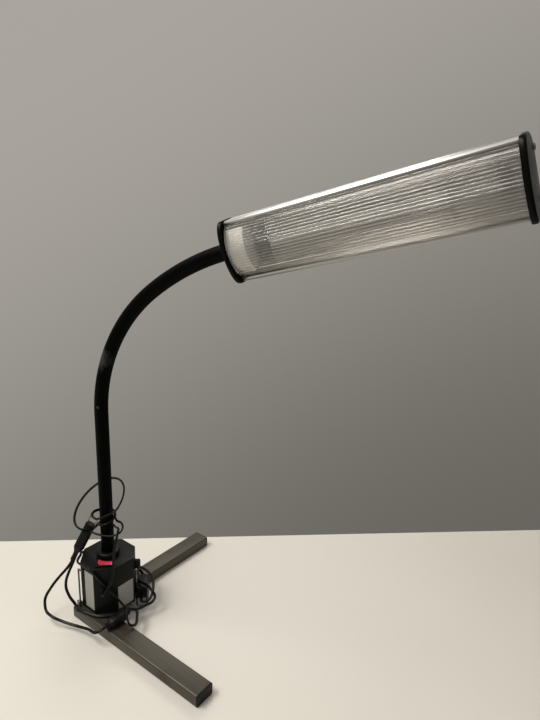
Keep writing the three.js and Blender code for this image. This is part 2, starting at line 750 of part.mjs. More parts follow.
function sweep(radius, sides, from, to, about, steps) {
  const section = new THREE.Shape();
  for (let i = 0; i < sides; i += 1) {
    const angle = (2 * Math.PI * i) / sides;
    const x = radius * Math.cos(angle);
    const y = radius * Math.sin(angle);
    if (i === 0) section.moveTo(x, y);
    else section.lineTo(x, y);
  }
  const path = new NeckStretch(from, to, about);
  return new THREE.ExtrudeGeometry(section, { steps, extrudePath: path, bevelEnabled: false });
}

function ball(radius, centre) {
  const geometry = new THREE.SphereGeometry(radius, neckSides, neckSides / 2);
  return solid(geometry.translate(centre.x, centre.y, centre.z));
}

const joints = jointShares.map((share) => share * neckLength);

// A length of neck: a cup at its lower end, if it hangs on a joint there, and a ball at its upper end
function neckPiece(name, from, to, steps, parent, lowerCup, upperBall) {
  const about = neckPoint(lowerCup ? from : Math.max(from, 0));
  const start = lowerCup ? from + cupHeight : from;
  let form = solid(sweep(neckRadius, neckSides, start, to, about, steps));
  if (upperBall) form = form.add(ball(neckRadius, neckPoint(to).sub(about)));
  if (lowerCup) form = form.subtract(ball(neckRadius + slipGap, new THREE.Vector3()));
  const boreTop = upperBall ? to + neckRadius + overrun : to + overrun;
  form = form.subtract(solid(sweep(neckBoreRadius, boreSides, start - overrun, boreTop, about, steps + 1)));
  const link = piece(name, form, neckRubber, parent);
  link.position.copy(about);
  return link;
}

function buildNeck() {
  const neck = new THREE.Group();
  neckPiece("neck_root", -neckTail, joints[0], linkSteps, neck, false, true);
  for (let i = 0; i + 1 < joints.length; i += 1) {
    neckPiece(`neck_link_${i + 1}`, joints[i], joints[i + 1], linkSteps, neck, true, true);
  }
  return neck;
}

// Collar on the housing's top, threaded through it and held by a nut inside
function buildCollar() {
  const collar = new THREE.Group();
  collar.position.set(baseX, baseY, housingTop);
  const inner = neckRadius + slipGap;
  const low = -housingWall - glandNutHeight - 2 * seatGap;
  const cut = collarEdge * (1 - Math.SQRT1_2);
  const profile = [
    [inner, low],
    [collarTailRadius, low],
    [collarTailRadius, seatGap],
    [collarRadius, seatGap],
    [collarRadius, collarHeight - collarEdge],
    [collarRadius - cut, collarHeight - cut],
    [collarRadius - collarEdge, collarHeight],
    [inner, collarHeight],
    [inner, low],
  ];
  piece("neck_collar", turned(profile, fine), blackPlastic, collar);
  const nutHole = rod(collarTailRadius + slipGap, glandNutHeight + 2 * overrun, medium);
  nutHole.translate(0, 0, -overrun);
  const nut = solid(prism(hexagon(glandNutAcross), glandNutHeight)).subtract(solid(nutHole));
  piece("collar_nut", nut, plainSteel, collar).position.z = -housingWall - seatGap - glandNutHeight;
  return collar;
}

// Lamp head, in a frame of its own: X from the neck along the head, Y away from the lens, Z across it
const lipFace = -neckEntryDepth;
const lensSeat = lipFace + channelWall + seatGap;
const channelBack = lipFace + channelDepth;
const nearCapStart = seatGap + neckBossHeight;
const channelStart = nearCapStart + endCapThickness + seatGap;
const headLength = channelStart + lensLength + endCapThickness + seatGap;

// A shape drawn in the head's YZ plane, with its outline running out along X
const acrossHead = new THREE.Matrix4().set(0, 0, 1, 0, 1, 0, 0, 0, 0, 1, 0, 0, 0, 0, 0, 1);

function drawnOut(shape, length) {
  return prism(shape, length).applyMatrix4(acrossHead);
}

function channelOutline(inset) {
  const shoulder = lipFace + channelShoulderDepth;
  return [
    [lipFace, channelHalfHeight - inset],
    [shoulder, channelHalfHeight - inset],
    [channelBack - inset, channelBackHalfHeight - inset / 2],
    [channelBack - inset, inset / 2 - channelBackHalfHeight],
    [shoulder, inset - channelHalfHeight],
    [lipFace, inset - channelHalfHeight],
  ];
}

// The wall as one outline: down the outside, round each lip and back up the inside
function channelSection() {
  const inside = channelOutline(channelWall).reverse();
  const lip = channelHalfHeight - lipHeight;
  const behindLip = lipFace + channelWall;
  const innerWall = channelHalfHeight - channelWall;
  return outline([
    [lipFace, lip],
    [lipFace, channelHalfHeight - channelBevel],
    [lipFace + channelBevel, channelHalfHeight],
    ...channelOutline(0).slice(1, -1),
    [lipFace + channelBevel, -channelHalfHeight],
    [lipFace, channelBevel - channelHalfHeight],
    [lipFace, -lip],
    [behindLip, -lip],
    [behindLip, -innerWall],
    ...inside.slice(1, -1),
    [behindLip, innerWall],
    [behindLip, lip],
  ]);
}

const portDepth = channelBack - channelWall + portSink - portRadius;
const lensHalfOpening = channelHalfHeight - lipHeight - slipGap;
const lensRadius = (lensHalfOpening * lensHalfOpening + lensRise * lensRise) / (2 * lensRise);
const lensCentre = lensSeat + lensRadius - lensRise;

// The lens's arc stands proud of the lips, and its two flanges lie behind them
function lensSection() {
  const flangeEnd = channelHalfHeight - channelWall - slipGap;
  const halfAngle = Math.asin(lensHalfOpening / lensRadius);
  const arcPoint = (share, lift) => {
    const angle = halfAngle * (1 - 2 * share);
    const reach = lensRadius + lift;
    return [lensCentre - reach * Math.cos(angle), reach * Math.sin(angle)];
  };
  const back = lensSeat + lensThickness;
  const points = [[back, flangeEnd], [lensSeat, flangeEnd], [lensSeat, lensHalfOpening]];
  const pitch = ribbedShare / ribCount;
  for (let i = 0; i < ribCount; i += 1) {
    points.push(arcPoint((i + 0.5) * pitch, ribRelief));
    points.push(arcPoint((i + 1) * pitch, 0));
  }
  for (let i = 1; i < smoothSteps; i += 1) {
    points.push(arcPoint(ribbedShare + ((1 - ribbedShare) * i) / smoothSteps, 0));
  }
  const innerOpening = lensHalfOpening - lensThickness;
  points.push([lensSeat, -lensHalfOpening], [lensSeat, -flangeEnd]);
  points.push([back, -flangeEnd], [back, -innerOpening]);
  for (let i = innerSteps - 1; i > 0; i -= 1) {
    const share = i / innerSteps;
    const [y, z] = arcPoint(share, -lensThickness);
    if (y < back && Math.abs(z) < innerOpening) points.push([y, z]);
  }
  points.push([back, innerOpening]);
  return outline(points);
}

// The end caps follow the channel's back and the lens's bulge, a rim outside both
function endCapOutline(inset) {
  const grow = endCapRim - inset;
  const points = channelOutline(0).map(([y, z]) => [y > lipFace ? y + grow : y, z + Math.sign(z) * grow]);
  for (let i = 1; i < noseSteps; i += 1) {
    const angle = (Math.PI * i) / noseSteps - Math.PI / 2;
    const reach = lensRise + ribRelief + grow;
    points.push([lipFace - reach * Math.cos(angle), (channelHalfHeight + grow) * Math.sin(angle)]);
  }
  return outline(points);
}

// An end cap, rounded on its outer end at x = 0 and flat where it meets the channel
function endCap() {
  const rounded = new THREE.ExtrudeGeometry(endCapOutline(endCapEdge), {
    depth: endCapThickness,
    bevelThickness: endCapEdge,
    bevelSize: endCapEdge,
    bevelSegments: 3,
  });
  rounded.applyMatrix4(acrossHead).translate(endCapEdge, 0, 0);
  const size = 4 * channelHalfHeight;
  const beyond = block(size, size, size).translate(endCapThickness + size / 2, 0, -size / 2);
  let cap = solid(rounded).subtract(solid(beyond));
  for (const side of [-1, 1]) {
    const hole = alongX(rod(capScrewRadius + slipGap, endCapThickness + 2 * overrun, coarse));
    cap = cap.subtract(solid(hole.translate(-overrun, portDepth, (side * portSpacing) / 2)));
  }
  return cap;
}

function capScrew() {
  const head = alongX(rod(capScrewHeadRadius, capScrewHeadHeight, coarse));
  head.translate(-capScrewHeadHeight - seatGap, 0, 0);
  const shank = alongX(rod(capScrewRadius, endCapThickness + capScrewGrip, coarse));
  shank.translate(-capScrewHeadHeight, 0, 0);
  return solid(head).add(solid(shank));
}

function buildHead() {
  const holder = new THREE.Group();
  const head = new THREE.Group();
  holder.add(head);
  head.position.copy(neckPoint(neckLength));
  const lean = radians(neckFirstBend + neckSecondBend);
  head.rotation.set(radians(headTwist), lean - Math.PI / 2, radians(neckEndHeading), "ZYX");

  let channel = solid(drawnOut(channelSection(), lensLength));
  for (const side of [-1, 1]) {
    const place = [0, portDepth, (side * portSpacing) / 2];
    const port = alongX(rod(portRadius, lensLength, coarse)).translate(...place);
    const bore = alongX(rod(capScrewRadius + slipGap, lensLength + 2 * overrun, coarse)).translate(...place);
    channel = channel.add(solid(port)).subtract(solid(bore.translate(-overrun, 0, 0)));
  }
  piece("head_channel", channel, aluminium, head).position.x = channelStart;
  piece("lens", drawnOut(lensSection(), lensLength), clearLens, head).position.x = channelStart;

  const boss = alongX(rod(neckBossRadius, neckBossHeight + endCapEdge, medium));
  boss.translate(-neckBossHeight, 0, 0);
  const neckHole = alongX(rod(tailRadius + slipGap, neckBossHeight + endCapThickness + 2 * overrun, medium));
  neckHole.translate(-neckBossHeight - overrun, 0, 0);
  const nearCap = endCap().add(solid(boss)).subtract(solid(neckHole));
  piece("near_cap", nearCap, blackPlastic, head).position.x = nearCapStart;
  const farCap = new THREE.Group();
  farCap.position.x = headLength + seatGap;
  farCap.rotation.z = Math.PI;
  const mirrored = asGeometry(endCap()).applyMatrix4(new THREE.Matrix4().makeScale(1, -1, 1));
  mirrored.index.array.reverse();
  piece("far_cap", mirrored, blackPlastic, farCap);
  head.add(farCap);
  const ends = [["near", 0], ["far", Math.PI]];
  for (const [end, turn] of ends) {
    for (const [place, side] of [["upper", 1], ["lower", -1]]) {
      const screw = piece(`${end}_${place}_screw`, capScrew(), plainSteel, head);
      screw.rotation.z = turn;
      const face = turn === 0 ? nearCapStart : headLength + seatGap;
      screw.position.set(face, portDepth, (side * portSpacing) / 2);
    }
  }

  // The neck's last length, with its threaded tail through the near cap and a nut inside
  const nutStart = channelStart;
  const tailLength = nutStart + tailNutHeight + tailProud;
  const last = joints[joints.length - 1];
  const about = neckPoint(last);
  const turn = new THREE.Matrix4().makeRotationFromEuler(head.rotation);
  const reach = head.position.clone().sub(about);
  const placed = (geometry) => solid(geometry.applyMatrix4(turn).translate(reach.x, reach.y, reach.z));
  let tip = solid(sweep(neckRadius, neckSides, last + cupHeight, neckLength, about, 2));
  tip = tip.subtract(ball(neckRadius + slipGap, new THREE.Vector3()));
  tip = tip.add(placed(alongX(rod(tailRadius, tailLength + overrun, medium)).translate(-overrun, 0, 0)));
  tip = tip.subtract(solid(sweep(tailBoreRadius, boreSides, last, neckLength, about, 2)));
  const tailBore = alongX(rod(tailBoreRadius, tailLength + 2 * overrun, boreSides));
  tip = tip.subtract(placed(tailBore.translate(-overrun / 2, 0, 0)));
  piece("neck_tip", tip, neckRubber, holder).position.copy(about);
  const nutHole = rod(tailRadius + slipGap, tailNutHeight + 2 * overrun, medium).translate(0, 0, -overrun);
  const nut = solid(prism(hexagon(tailNutAcross), tailNutHeight)).subtract(solid(nutHole));
  piece("tail_nut", alongX(asGeometry(nut)), plainSteel, head).position.x = nutStart;

  buildLamp(head);
  return holder;
}

// The lampholder's front, bowed to follow the lens from close behind
function holderNose(root) {
  const reach = lensRadius - lensThickness - holderNoseGap;
  const points = [[root, -holderHalfHeight], [root, holderHalfHeight]];
  for (let i = 0; i <= holderNoseSteps; i += 1) {
    const z = holderHalfHeight * (1 - (2 * i) / holderNoseSteps);
    points.push([lensCentre - Math.sqrt(reach * reach - z * z), z]);
  }
  return outline(points);
}

// Reflector, lampholder, lamp and clip, from the near cap outwards
function buildLamp(head) {
  const lampFront = lensSeat + lensThickness + seatGap;
  const holderStart = channelStart;
  const holderMiddle = lampFront + holderDepth / 2;
  const holder = block(holderLength, holderDepth, 2 * holderHalfHeight);
  holder.translate(holderStart + holderLength / 2, holderMiddle, -holderHalfHeight);
  const pocketLength = tailNutHeight + tailProud + slipGap;
  const pocket = block(2 * pocketLength, holderDepth, nutPocket);
  pocket.translate(holderStart, holderMiddle + holderFace, -nutPocket / 2);
  const socketSize = lampPlugWidth + 2 * slipGap;
  const socket = block(2 * (lampPlugLength + slipGap), socketSize, socketSize);
  socket.translate(holderStart + holderLength, 0, -socketSize / 2);
  const nose = solid(drawnOut(holderNose(lampFront + overrun), holderLength).translate(holderStart, 0, 0));
  const holderForm = solid(holder).add(nose).subtract(solid(pocket)).subtract(solid(socket));
  piece("lamp_holder", holderForm, holderWhite, head);

  const baseStart = holderStart + holderLength + seatGap;
  const base = block(lampBaseLength, lampBaseDepth, 2 * lampBaseHalfHeight);
  base.translate(baseStart + lampBaseLength / 2, 0, -lampBaseHalfHeight);
  const plug = block(lampPlugLength + overrun, lampPlugWidth, lampPlugWidth);
  plug.translate(baseStart - (lampPlugLength - overrun) / 2, 0, -lampPlugWidth / 2);
  piece("lamp_base", solid(base).add(solid(plug)), blackPlastic, head);

  const tubeStart = baseStart + lampBaseLength + seatGap;
  let glass = null;
  for (const side of [-1, 1]) {
    const leg = alongX(rod(lampTubeRadius, lampTubeLength, medium));
    const placed = solid(leg.translate(0, 0, (side * lampTubeSpacing) / 2));
    glass = glass ? glass.add(placed) : placed;
  }
  const bridge = rod(lampBridgeRadius, lampTubeSpacing, coarse);
  bridge.translate(lampTubeLength - lampBridgeInset, 0, -lampTubeSpacing / 2);
  const tubes = piece("lamp_tubes", glass.add(solid(bridge)), lampWhite, head);
  tubes.position.x = tubeStart;

  const edge = channelHalfHeight - channelWall - seatGap;
  const back = lampFront + reflectorDepth;
  const skin = reflectorThickness;
  const arm = lampTubeSpacing / 2 + lampTubeRadius + slipGap;
  const outer = arm + clipThickness;
  const backHalfHeight = outer + reflectorBackRoom + skin;
  const reflector = outline([
    [lampFront, edge],
    [back, backHalfHeight],
    [back, -backHalfHeight],
    [lampFront, -edge],
    [lampFront, skin - edge],
    [back - skin, skin - backHalfHeight],
    [back - skin, backHalfHeight - skin],
    [lampFront, edge - skin],
  ]);
  const sheetStart = baseStart;
  const sheetLength = channelStart + lensLength - seatGap - sheetStart;
  piece("reflector", drawnOut(reflector, sheetLength), aluminium, head).position.x = sheetStart;

  const seat = back - skin - seatGap;
  const clip = outline([
    [seat, outer],
    [0, outer],
    [0, arm],
    [seat - clipThickness, arm],
    [seat - clipThickness, -arm],
    [0, -arm],
    [0, -outer],
    [seat, -outer],
  ]);
  const spring = piece("lamp_clip", drawnOut(clip, clipWidth), plainSteel, head);
  spring.position.x = tubeStart + lampTubeLength - clipInset;
}

// Cords
function place(point) {
  return new THREE.Vector3(...point);
}

// One unbroken tube through a route: short steps on its curves, straight at both ends
class CordRoute {
  constructor(points, gradual) {
    this.curve = new THREE.CatmullRomCurve3(points, false, "centripetal");
    this.points = [points[0]];
    const spans = points.length - 1;
    for (let i = 0; i < spans; i += 1) {
      const reach = points[i].distanceTo(points[i + 1]);
      const straight = i === 0 || i === spans - 1;
      const steps = straight || gradual ? 1 : Math.max(1, Math.round(reach / cordStep));
      for (let j = 1; j <= steps; j += 1) {
        this.points.push(straight ? points[i + 1] : this.curve.getPoint((i + j / steps) / spans));
      }
    }
  }

  length() {
    let sum = 0;
    for (let i = 1; i < this.points.length; i += 1) sum += this.points[i].distanceTo(this.points[i - 1]);
    return sum;
  }

  // The least gap between stretches of the cord that lie next to each other
  selfGap() {
    const fine = [];
    let along = 0;
    for (let i = 1; i < this.points.length; i += 1) {
      const reach = this.points[i].distanceTo(this.points[i - 1]);
      const parts = Math.ceil(reach / cordRadius);
      for (let j = 0; j < parts; j += 1) {
        fine.push([along + (reach * j) / parts, this.points[i - 1].clone().lerp(this.points[i], j / parts)]);
      }
      along += reach;
    }
    let least = Infinity;
    for (let i = 0; i < fine.length; i += 1) {
      for (let j = i + 1; j < fine.length; j += 1) {
        if (fine[j][0] - fine[i][0] > selfReach) least = Math.min(least, fine[i][1].distanceTo(fine[j][1]));
      }
    }
    return least - 2 * cordRadius;
  }

  // Rings of the section carried along the route without twisting, closed by a fan at each end
  geometry() {
    const count = this.points.length;
    const positions = [];
    const index = [];
    const tangents = this.points.map((point, i) => {
      const before = this.points[Math.max(i - 1, 0)];
      const after = this.points[Math.min(i + 1, count - 1)];
      return after.clone().sub(before).normalize();
    });
    const side = new THREE.Vector3(tangents[0].y, -tangents[0].x, 0).normalize();
    for (let i = 0; i < count; i += 1) {
      side.addScaledVector(tangents[i], -side.dot(tangents[i])).normalize();
      const other = tangents[i].clone().cross(side);
      for (let j = 0; j < cordSides; j += 1) {
        const angle = (2 * Math.PI * j) / cordSides;
        const corner = this.points[i].clone();
        corner.addScaledVector(side, cordRadius * Math.cos(angle));
        corner.addScaledVector(other, cordRadius * Math.sin(angle));
        positions.push(...corner.toArray());
      }
    }
    for (let i = 0; i + 1 < count; i += 1) {
      for (let j = 0; j < cordSides; j += 1) {
        const a = i * cordSides + j;
        const b = i * cordSides + ((j + 1) % cordSides);
        index.push(a, b, b + cordSides, a, b + cordSides, a + cordSides);
      }
    }
    const end = (count - 1) * cordSides;
    for (let j = 1; j + 1 < cordSides; j += 1) {
      index.push(0, j + 1, j, end, end + j, end + j + 1);
    }
    const geometry = new THREE.BufferGeometry();
    geometry.setAttribute("position", new THREE.Float32BufferAttribute(positions, 3));
    geometry.setIndex(index);
    geometry.computeVertexNormals();
    return geometry;
  }
}

function ringLoop() {
  const steps = Math.round((loopSteps * Math.abs(ringEnd - ringStart)) / 360);
  const points = [];
  for (let i = 0; i <= steps; i += 1) {
    const angle = radians(ringStart + ((ringEnd - ringStart) * i) / steps);
    const share = ringStartShare + ((1 - ringStartShare) * i) / steps;
    const point = place(ringCentre);
    point.addScaledVector(place(ringLongAxis), share * Math.cos(angle));
    points.push(point.addScaledVector(place(ringShortAxis), share * Math.sin(angle)));
  }
  return points;
}

function neckWinding() {
  const steps = Math.round((loopSteps * Math.abs(windingEnd - windingStart)) / 360);
  const radius = neckRadius + cordRadius + windingGap;
  const points = [];
  for (let i = 0; i <= steps; i += 1) {
    const angle = radians(windingStart + ((windingEnd - windingStart) * i) / steps);
    const height = windingTop + ((windingBottom - windingTop) * i) / steps;
    const x = baseX + radius * Math.cos(angle);
    points.push(new THREE.Vector3(x, baseY + radius * Math.sin(angle), height));
  }
  return points;
}

// A cord's end on a piece: the point on its face and the end of the straight stub
function stub(point, direction) {
  const end = place(point).addScaledVector(direction, seatGap);
  return [end, end.clone().addScaledVector(direction, cordStub)];
}

function buildCords() {
  const cords = new THREE.Group();
  const outward = new THREE.Vector3(1, -1, 0).normalize();
  const alongChamfer = new THREE.Vector3(1, 1, 0).normalize();
  const forward = new THREE.Vector3(0, 1, 0);

  const supplyForm = prism(roundedRectangle(supplyLength, supplyWidth, supplyCorner), supplyHeight);
  const supply = piece("supply_unit", supplyForm, blackPlastic, cords);
  supply.position.set(supplyX, supplyY, 0);
  supply.rotation.z = -Math.PI / 4;
  const supplyEnd = (direction, height) => {
    return new THREE.Vector3(supplyX, supplyY, height).addScaledVector(direction, supplyLength / 2).toArray();
  };

  // Coupler: two halves, end to end across the front leg
  const half = couplerLength / 2 - seatGap / 2;
  const wide = couplerWidth / 2 - couplerEdge;
  const narrow = couplerNeckWidth / 2 - couplerEdge;
  const halfOutline = outline([
    [-wide, couplerEdge],
    [wide, couplerEdge],
    [wide, half - couplerTaper],
    [narrow, half - couplerEdge],
    [-narrow, half - couplerEdge],
    [-wide, half - couplerTaper],
  ]);
  const couplerHalf = () => new THREE.ExtrudeGeometry(halfOutline, {
    depth: couplerHeight - 2 * couplerEdge,
    bevelThickness: couplerEdge,
    bevelSize: couplerEdge,
    bevelSegments: 2,
  }).translate(0, seatGap / 2, couplerEdge);
  const couplerZ = legHeight + seatGap;
  const rearHalf = piece("coupler_plug", couplerHalf(), blackPlastic, cords);
  rearHalf.position.set(couplerX, couplerMiddle, couplerZ);
  const frontHalf = piece("coupler_socket", couplerHalf().rotateZ(Math.PI), blackPlastic, cords);
  frontHalf.position.set(couplerX, couplerMiddle, couplerZ);
  const couplerEnd = (side) => {
    return [couplerX, couplerMiddle + (side * couplerLength) / 2, couplerZ + couplerHeight / 2];
  };

  // Mains plug and its two blades
  const low = place(plugLow);
  const axis = place(plugTop).sub(low);
  const plugLength = axis.length();
  axis.normalize();
  const across = place(plugAcross);
  across.addScaledVector(axis, -across.dot(axis)).normalize();
  const plugGroup = new THREE.Group();
  plugGroup.position.copy(low);
  const basis = new THREE.Matrix4().makeBasis(across, axis.clone().cross(across), axis);
  plugGroup.quaternion.setFromRotationMatrix(basis);
  cords.add(plugGroup);
  const neck = plugNeckWidth / 2 - plugEdge;
  const body = plugWidth / 2 - plugEdge;
  const plugOutline = outline([
    [-neck, plugEdge],
    [neck, plugEdge],
    [neck, plugNeckLength],
    [body, plugShoulder],
    [body, plugLength - plugEdge],
    [-body, plugLength - plugEdge],
    [-body, plugShoulder],
    [-neck, plugNeckLength],
  ]);
  const plugForm = new THREE.ExtrudeGeometry(plugOutline, {
    depth: plugThickness - 2 * plugEdge,
    bevelThickness: plugEdge,
    bevelSize: plugEdge,
    bevelSegments: 2,
  });
  plugForm.translate(0, 0, plugEdge - plugThickness / 2).rotateX(Math.PI / 2);
  piece("mains_plug", plugForm, blackPlastic, plugGroup);
  for (const side of [-1, 1]) {
    const blade = block(prongThickness, prongWidth, prongLength);
    const prong = piece(`plug_prong_${side < 0 ? 1 : 2}`, blade, brass, plugGroup);
    prong.position.set((side * prongSpacing) / 2, 0, plugLength + seatGap);
  }

  // Lamp lead
  const reliefFace = new THREE.Vector3(baseX, baseY, legHeight + reliefHeight);
  reliefFace.addScaledVector(outward, housingAcross / 2 + seatGap + reliefLength);
  reliefFace.addScaledVector(alongChamfer, reliefShift);
  const backward = outward.clone().negate();
  const leadRoute = new CordRoute([
    ...stub(supplyEnd(backward, leadExitHeight), backward),
    ...leadFirstPoints.map(place),
    ...ringLoop(),
    ...leadSmallLoopPoints.map(place),
    ...neckWinding(),
    ...leadLastPoints.map(place),
    ...stub(reliefFace.toArray(), outward).reverse(),
  ]);
  const tailRoute = new CordRoute([
    ...stub(couplerEnd(1), forward),
    ...tailPoints.map(place),
    ...stub(supplyEnd(outward, tailExitHeight), outward).reverse(),
  ]);
  const mainsRoute = new CordRoute([
    ...stub(plugLow, axis.clone().negate()),
    ...mainsPoints.map(place),
    ...stub(couplerEnd(-1), forward.clone().negate()).reverse(),
  ]);
  const routes = { lamp_lead: leadRoute, supply_tail: tailRoute, mains_lead: mainsRoute };
  for (const [name, route] of Object.entries(routes)) {
    piece(name, route.geometry(), neckRubber, cords);
    const gap = route.selfGap().toFixed(2);
    console.log(`${name}: ${route.length().toFixed(0)} mm long, least gap to itself ${gap} mm`);
  }
  return cords;
}

const light = new THREE.Group();
light.add(buildStand(), buildBase(), buildRocker(), buildFuse(), buildRelief());
light.add(buildCollar(), buildNeck(), buildHead(), buildCords());

export default light;
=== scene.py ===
"""Portable work light: a long lamp head on a gooseneck, carried by a magnetic base on a welded L of
steel tube. Everything is in metres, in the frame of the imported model: X along the front leg, Y along
the rear leg, Z up from the table."""
import json
import math

import bmesh
import bpy
from mathutils import Euler, Matrix, Vector


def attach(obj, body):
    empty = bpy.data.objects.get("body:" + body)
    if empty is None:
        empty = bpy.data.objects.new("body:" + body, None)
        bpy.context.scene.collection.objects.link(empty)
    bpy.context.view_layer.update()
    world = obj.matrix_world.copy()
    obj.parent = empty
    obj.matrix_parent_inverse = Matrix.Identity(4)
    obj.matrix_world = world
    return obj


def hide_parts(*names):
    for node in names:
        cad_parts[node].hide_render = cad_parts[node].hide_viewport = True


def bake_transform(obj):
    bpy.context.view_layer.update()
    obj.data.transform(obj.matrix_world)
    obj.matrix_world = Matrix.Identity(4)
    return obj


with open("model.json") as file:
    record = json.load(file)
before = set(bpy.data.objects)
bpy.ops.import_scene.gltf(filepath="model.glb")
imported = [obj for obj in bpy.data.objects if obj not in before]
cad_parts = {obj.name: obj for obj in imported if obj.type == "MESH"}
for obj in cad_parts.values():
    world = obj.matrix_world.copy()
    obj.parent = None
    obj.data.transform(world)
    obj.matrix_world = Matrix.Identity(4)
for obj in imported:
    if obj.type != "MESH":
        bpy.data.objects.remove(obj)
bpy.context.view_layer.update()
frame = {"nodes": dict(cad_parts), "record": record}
scene = bpy.context.scene

# Camera
# It stands in front of the light and to its right, about as high as the lamp head, and looks a
# little down. Its lens is a phone's wide one, given by its focal length in pixels of the picture.
camera_place = Vector((0.6841, -0.4474, 0.6551))
camera_forward = Vector((-0.5701, 0.7811, -0.2548))
camera_right = Vector((0.802, 0.5963, 0.0334))
focal_pixels = 541
picture_height = 720
sensor = 36
lens_data = bpy.data.cameras.new("camera")
lens_data.sensor_width = sensor
lens_data.lens = sensor * focal_pixels / picture_height
camera = bpy.data.objects.new("camera", lens_data)
scene.collection.objects.link(camera)
camera_up = camera_right.cross(camera_forward)
camera_turn = Matrix((camera_right, camera_up, -camera_forward)).transposed()
camera.matrix_world = Matrix.Translation(camera_place) @ camera_turn.to_4x4()
scene.camera = camera

# Table
# A plain off-white table top, whose straight far edge runs just behind the rear leg's end.
# Beyond it there is only the plain grey of the room.
table_edge_start = Vector((-0.3173, 0.016, 0))
table_edge_end = Vector((0.5464, 0.7865, 0))
table_reach = 0.98
table_overhang = 1.6


def node_in(tree, kind, inputs):
    """A shader or geometry node with its inputs set, each to a value or to another node's output."""
    node = tree.nodes.new(kind)
    for socket, value in inputs.items():
        if isinstance(value, bpy.types.NodeSocket):
            tree.links.new(value, node.inputs[socket])
        else:
            node.inputs[socket].default_value = value
    return node


def ranged(tree, value, low, high, at_low, at_high):
    """A node that gives one result at the value's low end, the other at its high end."""
    return node_in(tree, "ShaderNodeMapRange", {
        "Value": value, "From Min": low, "From Max": high, "To Min": at_low, "To Max": at_high,
    })


def finish(
    name, colour, roughness, metallic=0.0, grain=900, depth=0.2, patch=14, patchy=0.25,
    stretch=(1, 1, 1), turn=(0, 0, 0), sockets=None,
):
    """A material with fine grain in relief and slow patches of lighter and darker colour.

    The pattern may be drawn out along an axis of a turned piece, and more shader sockets may be set."""
    low, high, gloss_spread, grain_distance = 0.3, 0.7, 0.15, 0.0002
    material = bpy.data.materials.new(name)
    material.use_nodes = True
    tree = material.node_tree
    shader = tree.nodes["Principled BSDF"]
    for label, value in {"Metallic": metallic, **(sockets or {})}.items():
        shader.inputs[label].default_value = value
    place = tree.nodes.new("ShaderNodeTexCoord").outputs["Object"]
    mapping = node_in(tree, "ShaderNodeMapping", {"Vector": place, "Scale": stretch, "Rotation": turn})
    mapping.vector_type = "TEXTURE"
    place = mapping.outputs["Vector"]
    slow = node_in(tree, "ShaderNodeTexNoise", {
        "Vector": place, "Scale": patch, "Detail": 5.0, "Roughness": 0.6,
    }).outputs["Fac"]
    ramp = node_in(tree, "ShaderNodeValToRGB", {"Fac": slow})
    for element, position, level in zip(ramp.color_ramp.elements, (low, high), (1 - patchy, 1 + patchy)):
        element.position = position
        element.color = (*(min(1, part * level) for part in colour), 1)
    tree.links.new(ramp.outputs["Color"], shader.inputs["Base Color"])
    gloss = ranged(tree, slow, low, high, roughness * (1 - gloss_spread), roughness * (1 + gloss_spread))
    tree.links.new(gloss.outputs["Result"], shader.inputs["Roughness"])
    fine = node_in(tree, "ShaderNodeTexNoise", {"Vector": place, "Scale": grain, "Detail": 2.0})
    bump = node_in(tree, "ShaderNodeBump", {
        "Height": fine.outputs["Fac"], "Strength": depth, "Distance": grain_distance,
    })
    tree.links.new(bump.outputs["Normal"], shader.inputs["Normal"])
    return material


def shown(name, data, crease):
    """An object at the origin, shaded smooth except across edges sharper than the crease."""
    data.name = name
    data.shade_smooth()
    data.set_sharp_from_angle(angle=math.radians(crease))
    piece = bpy.data.objects.new(name, data)
    scene.collection.objects.link(piece)
    return piece


def piece_of(name, mesh, material, crease=35):
    """An object from a bmesh, in one material."""
    data = bpy.data.meshes.new(name)
    mesh.to_mesh(data)
    mesh.free()
    data.materials.append(material)
    return shown(name, data, crease)


table_white = finish("table_white", (0.66, 0.636, 0.584), 0.5, grain=300, depth=0.05, patch=2, patchy=0.02)
along_edge = (table_edge_end - table_edge_start).normalized()
across_table = table_reach * Vector((along_edge.y, -along_edge.x, 0))
near_left = table_edge_start - table_overhang * along_edge
near_right = table_edge_end + table_overhang * along_edge
table_mesh = bmesh.new()
table_mesh.faces.new([
    table_mesh.verts.new(corner)
    for corner in (near_left, near_left + across_table, near_right + across_table, near_right)
])
piece_of("table", table_mesh, table_white)

# Mains plug
# A moulded black plug on the mains lead's end, tucked up beside the neck: a slim segmented sleeve
# where the lead goes in, rounded shoulders, a body with finger ridges, and two flat blades.
plug_low = Vector((-0.0368, 0.0002, 0.0912))
plug_top = Vector((-0.016, 0.0256, 0.1552))
plug_across = Vector((-0.794, -0.443, 0.416))
plug_half_width = 0.0085
plug_half_thickness = 0.0065
plug_neck_half = 0.004
plug_neck_flatness = 0.9
plug_neck = 0.014
plug_shoulder = 0.027
plug_grip_start = 0.031
plug_smooth_end = 0.018
plug_edge = 0.0012
plug_ridge = 0.0005
ridge_pitch = 0.0036
sleeve_pitch = 0.0028


def angles_round(sides):
    """Even angles, once round."""
    return [2 * math.pi * i / sides for i in range(sides)]


def skinned(mesh, rings):
    """Joins rings of places, each to the next one, into one closed skin."""
    rings = [[mesh.verts.new(place) for place in ring] for ring in rings]
    for lower, upper in zip(rings, rings[1:]):
        for i in range(len(lower)):
            j = (i + 1) % len(lower)
            mesh.faces.new((lower[i], lower[j], upper[j], upper[i]))
    mesh.faces.new(reversed(rings[0]))
    mesh.faces.new(rings[-1])
    return mesh


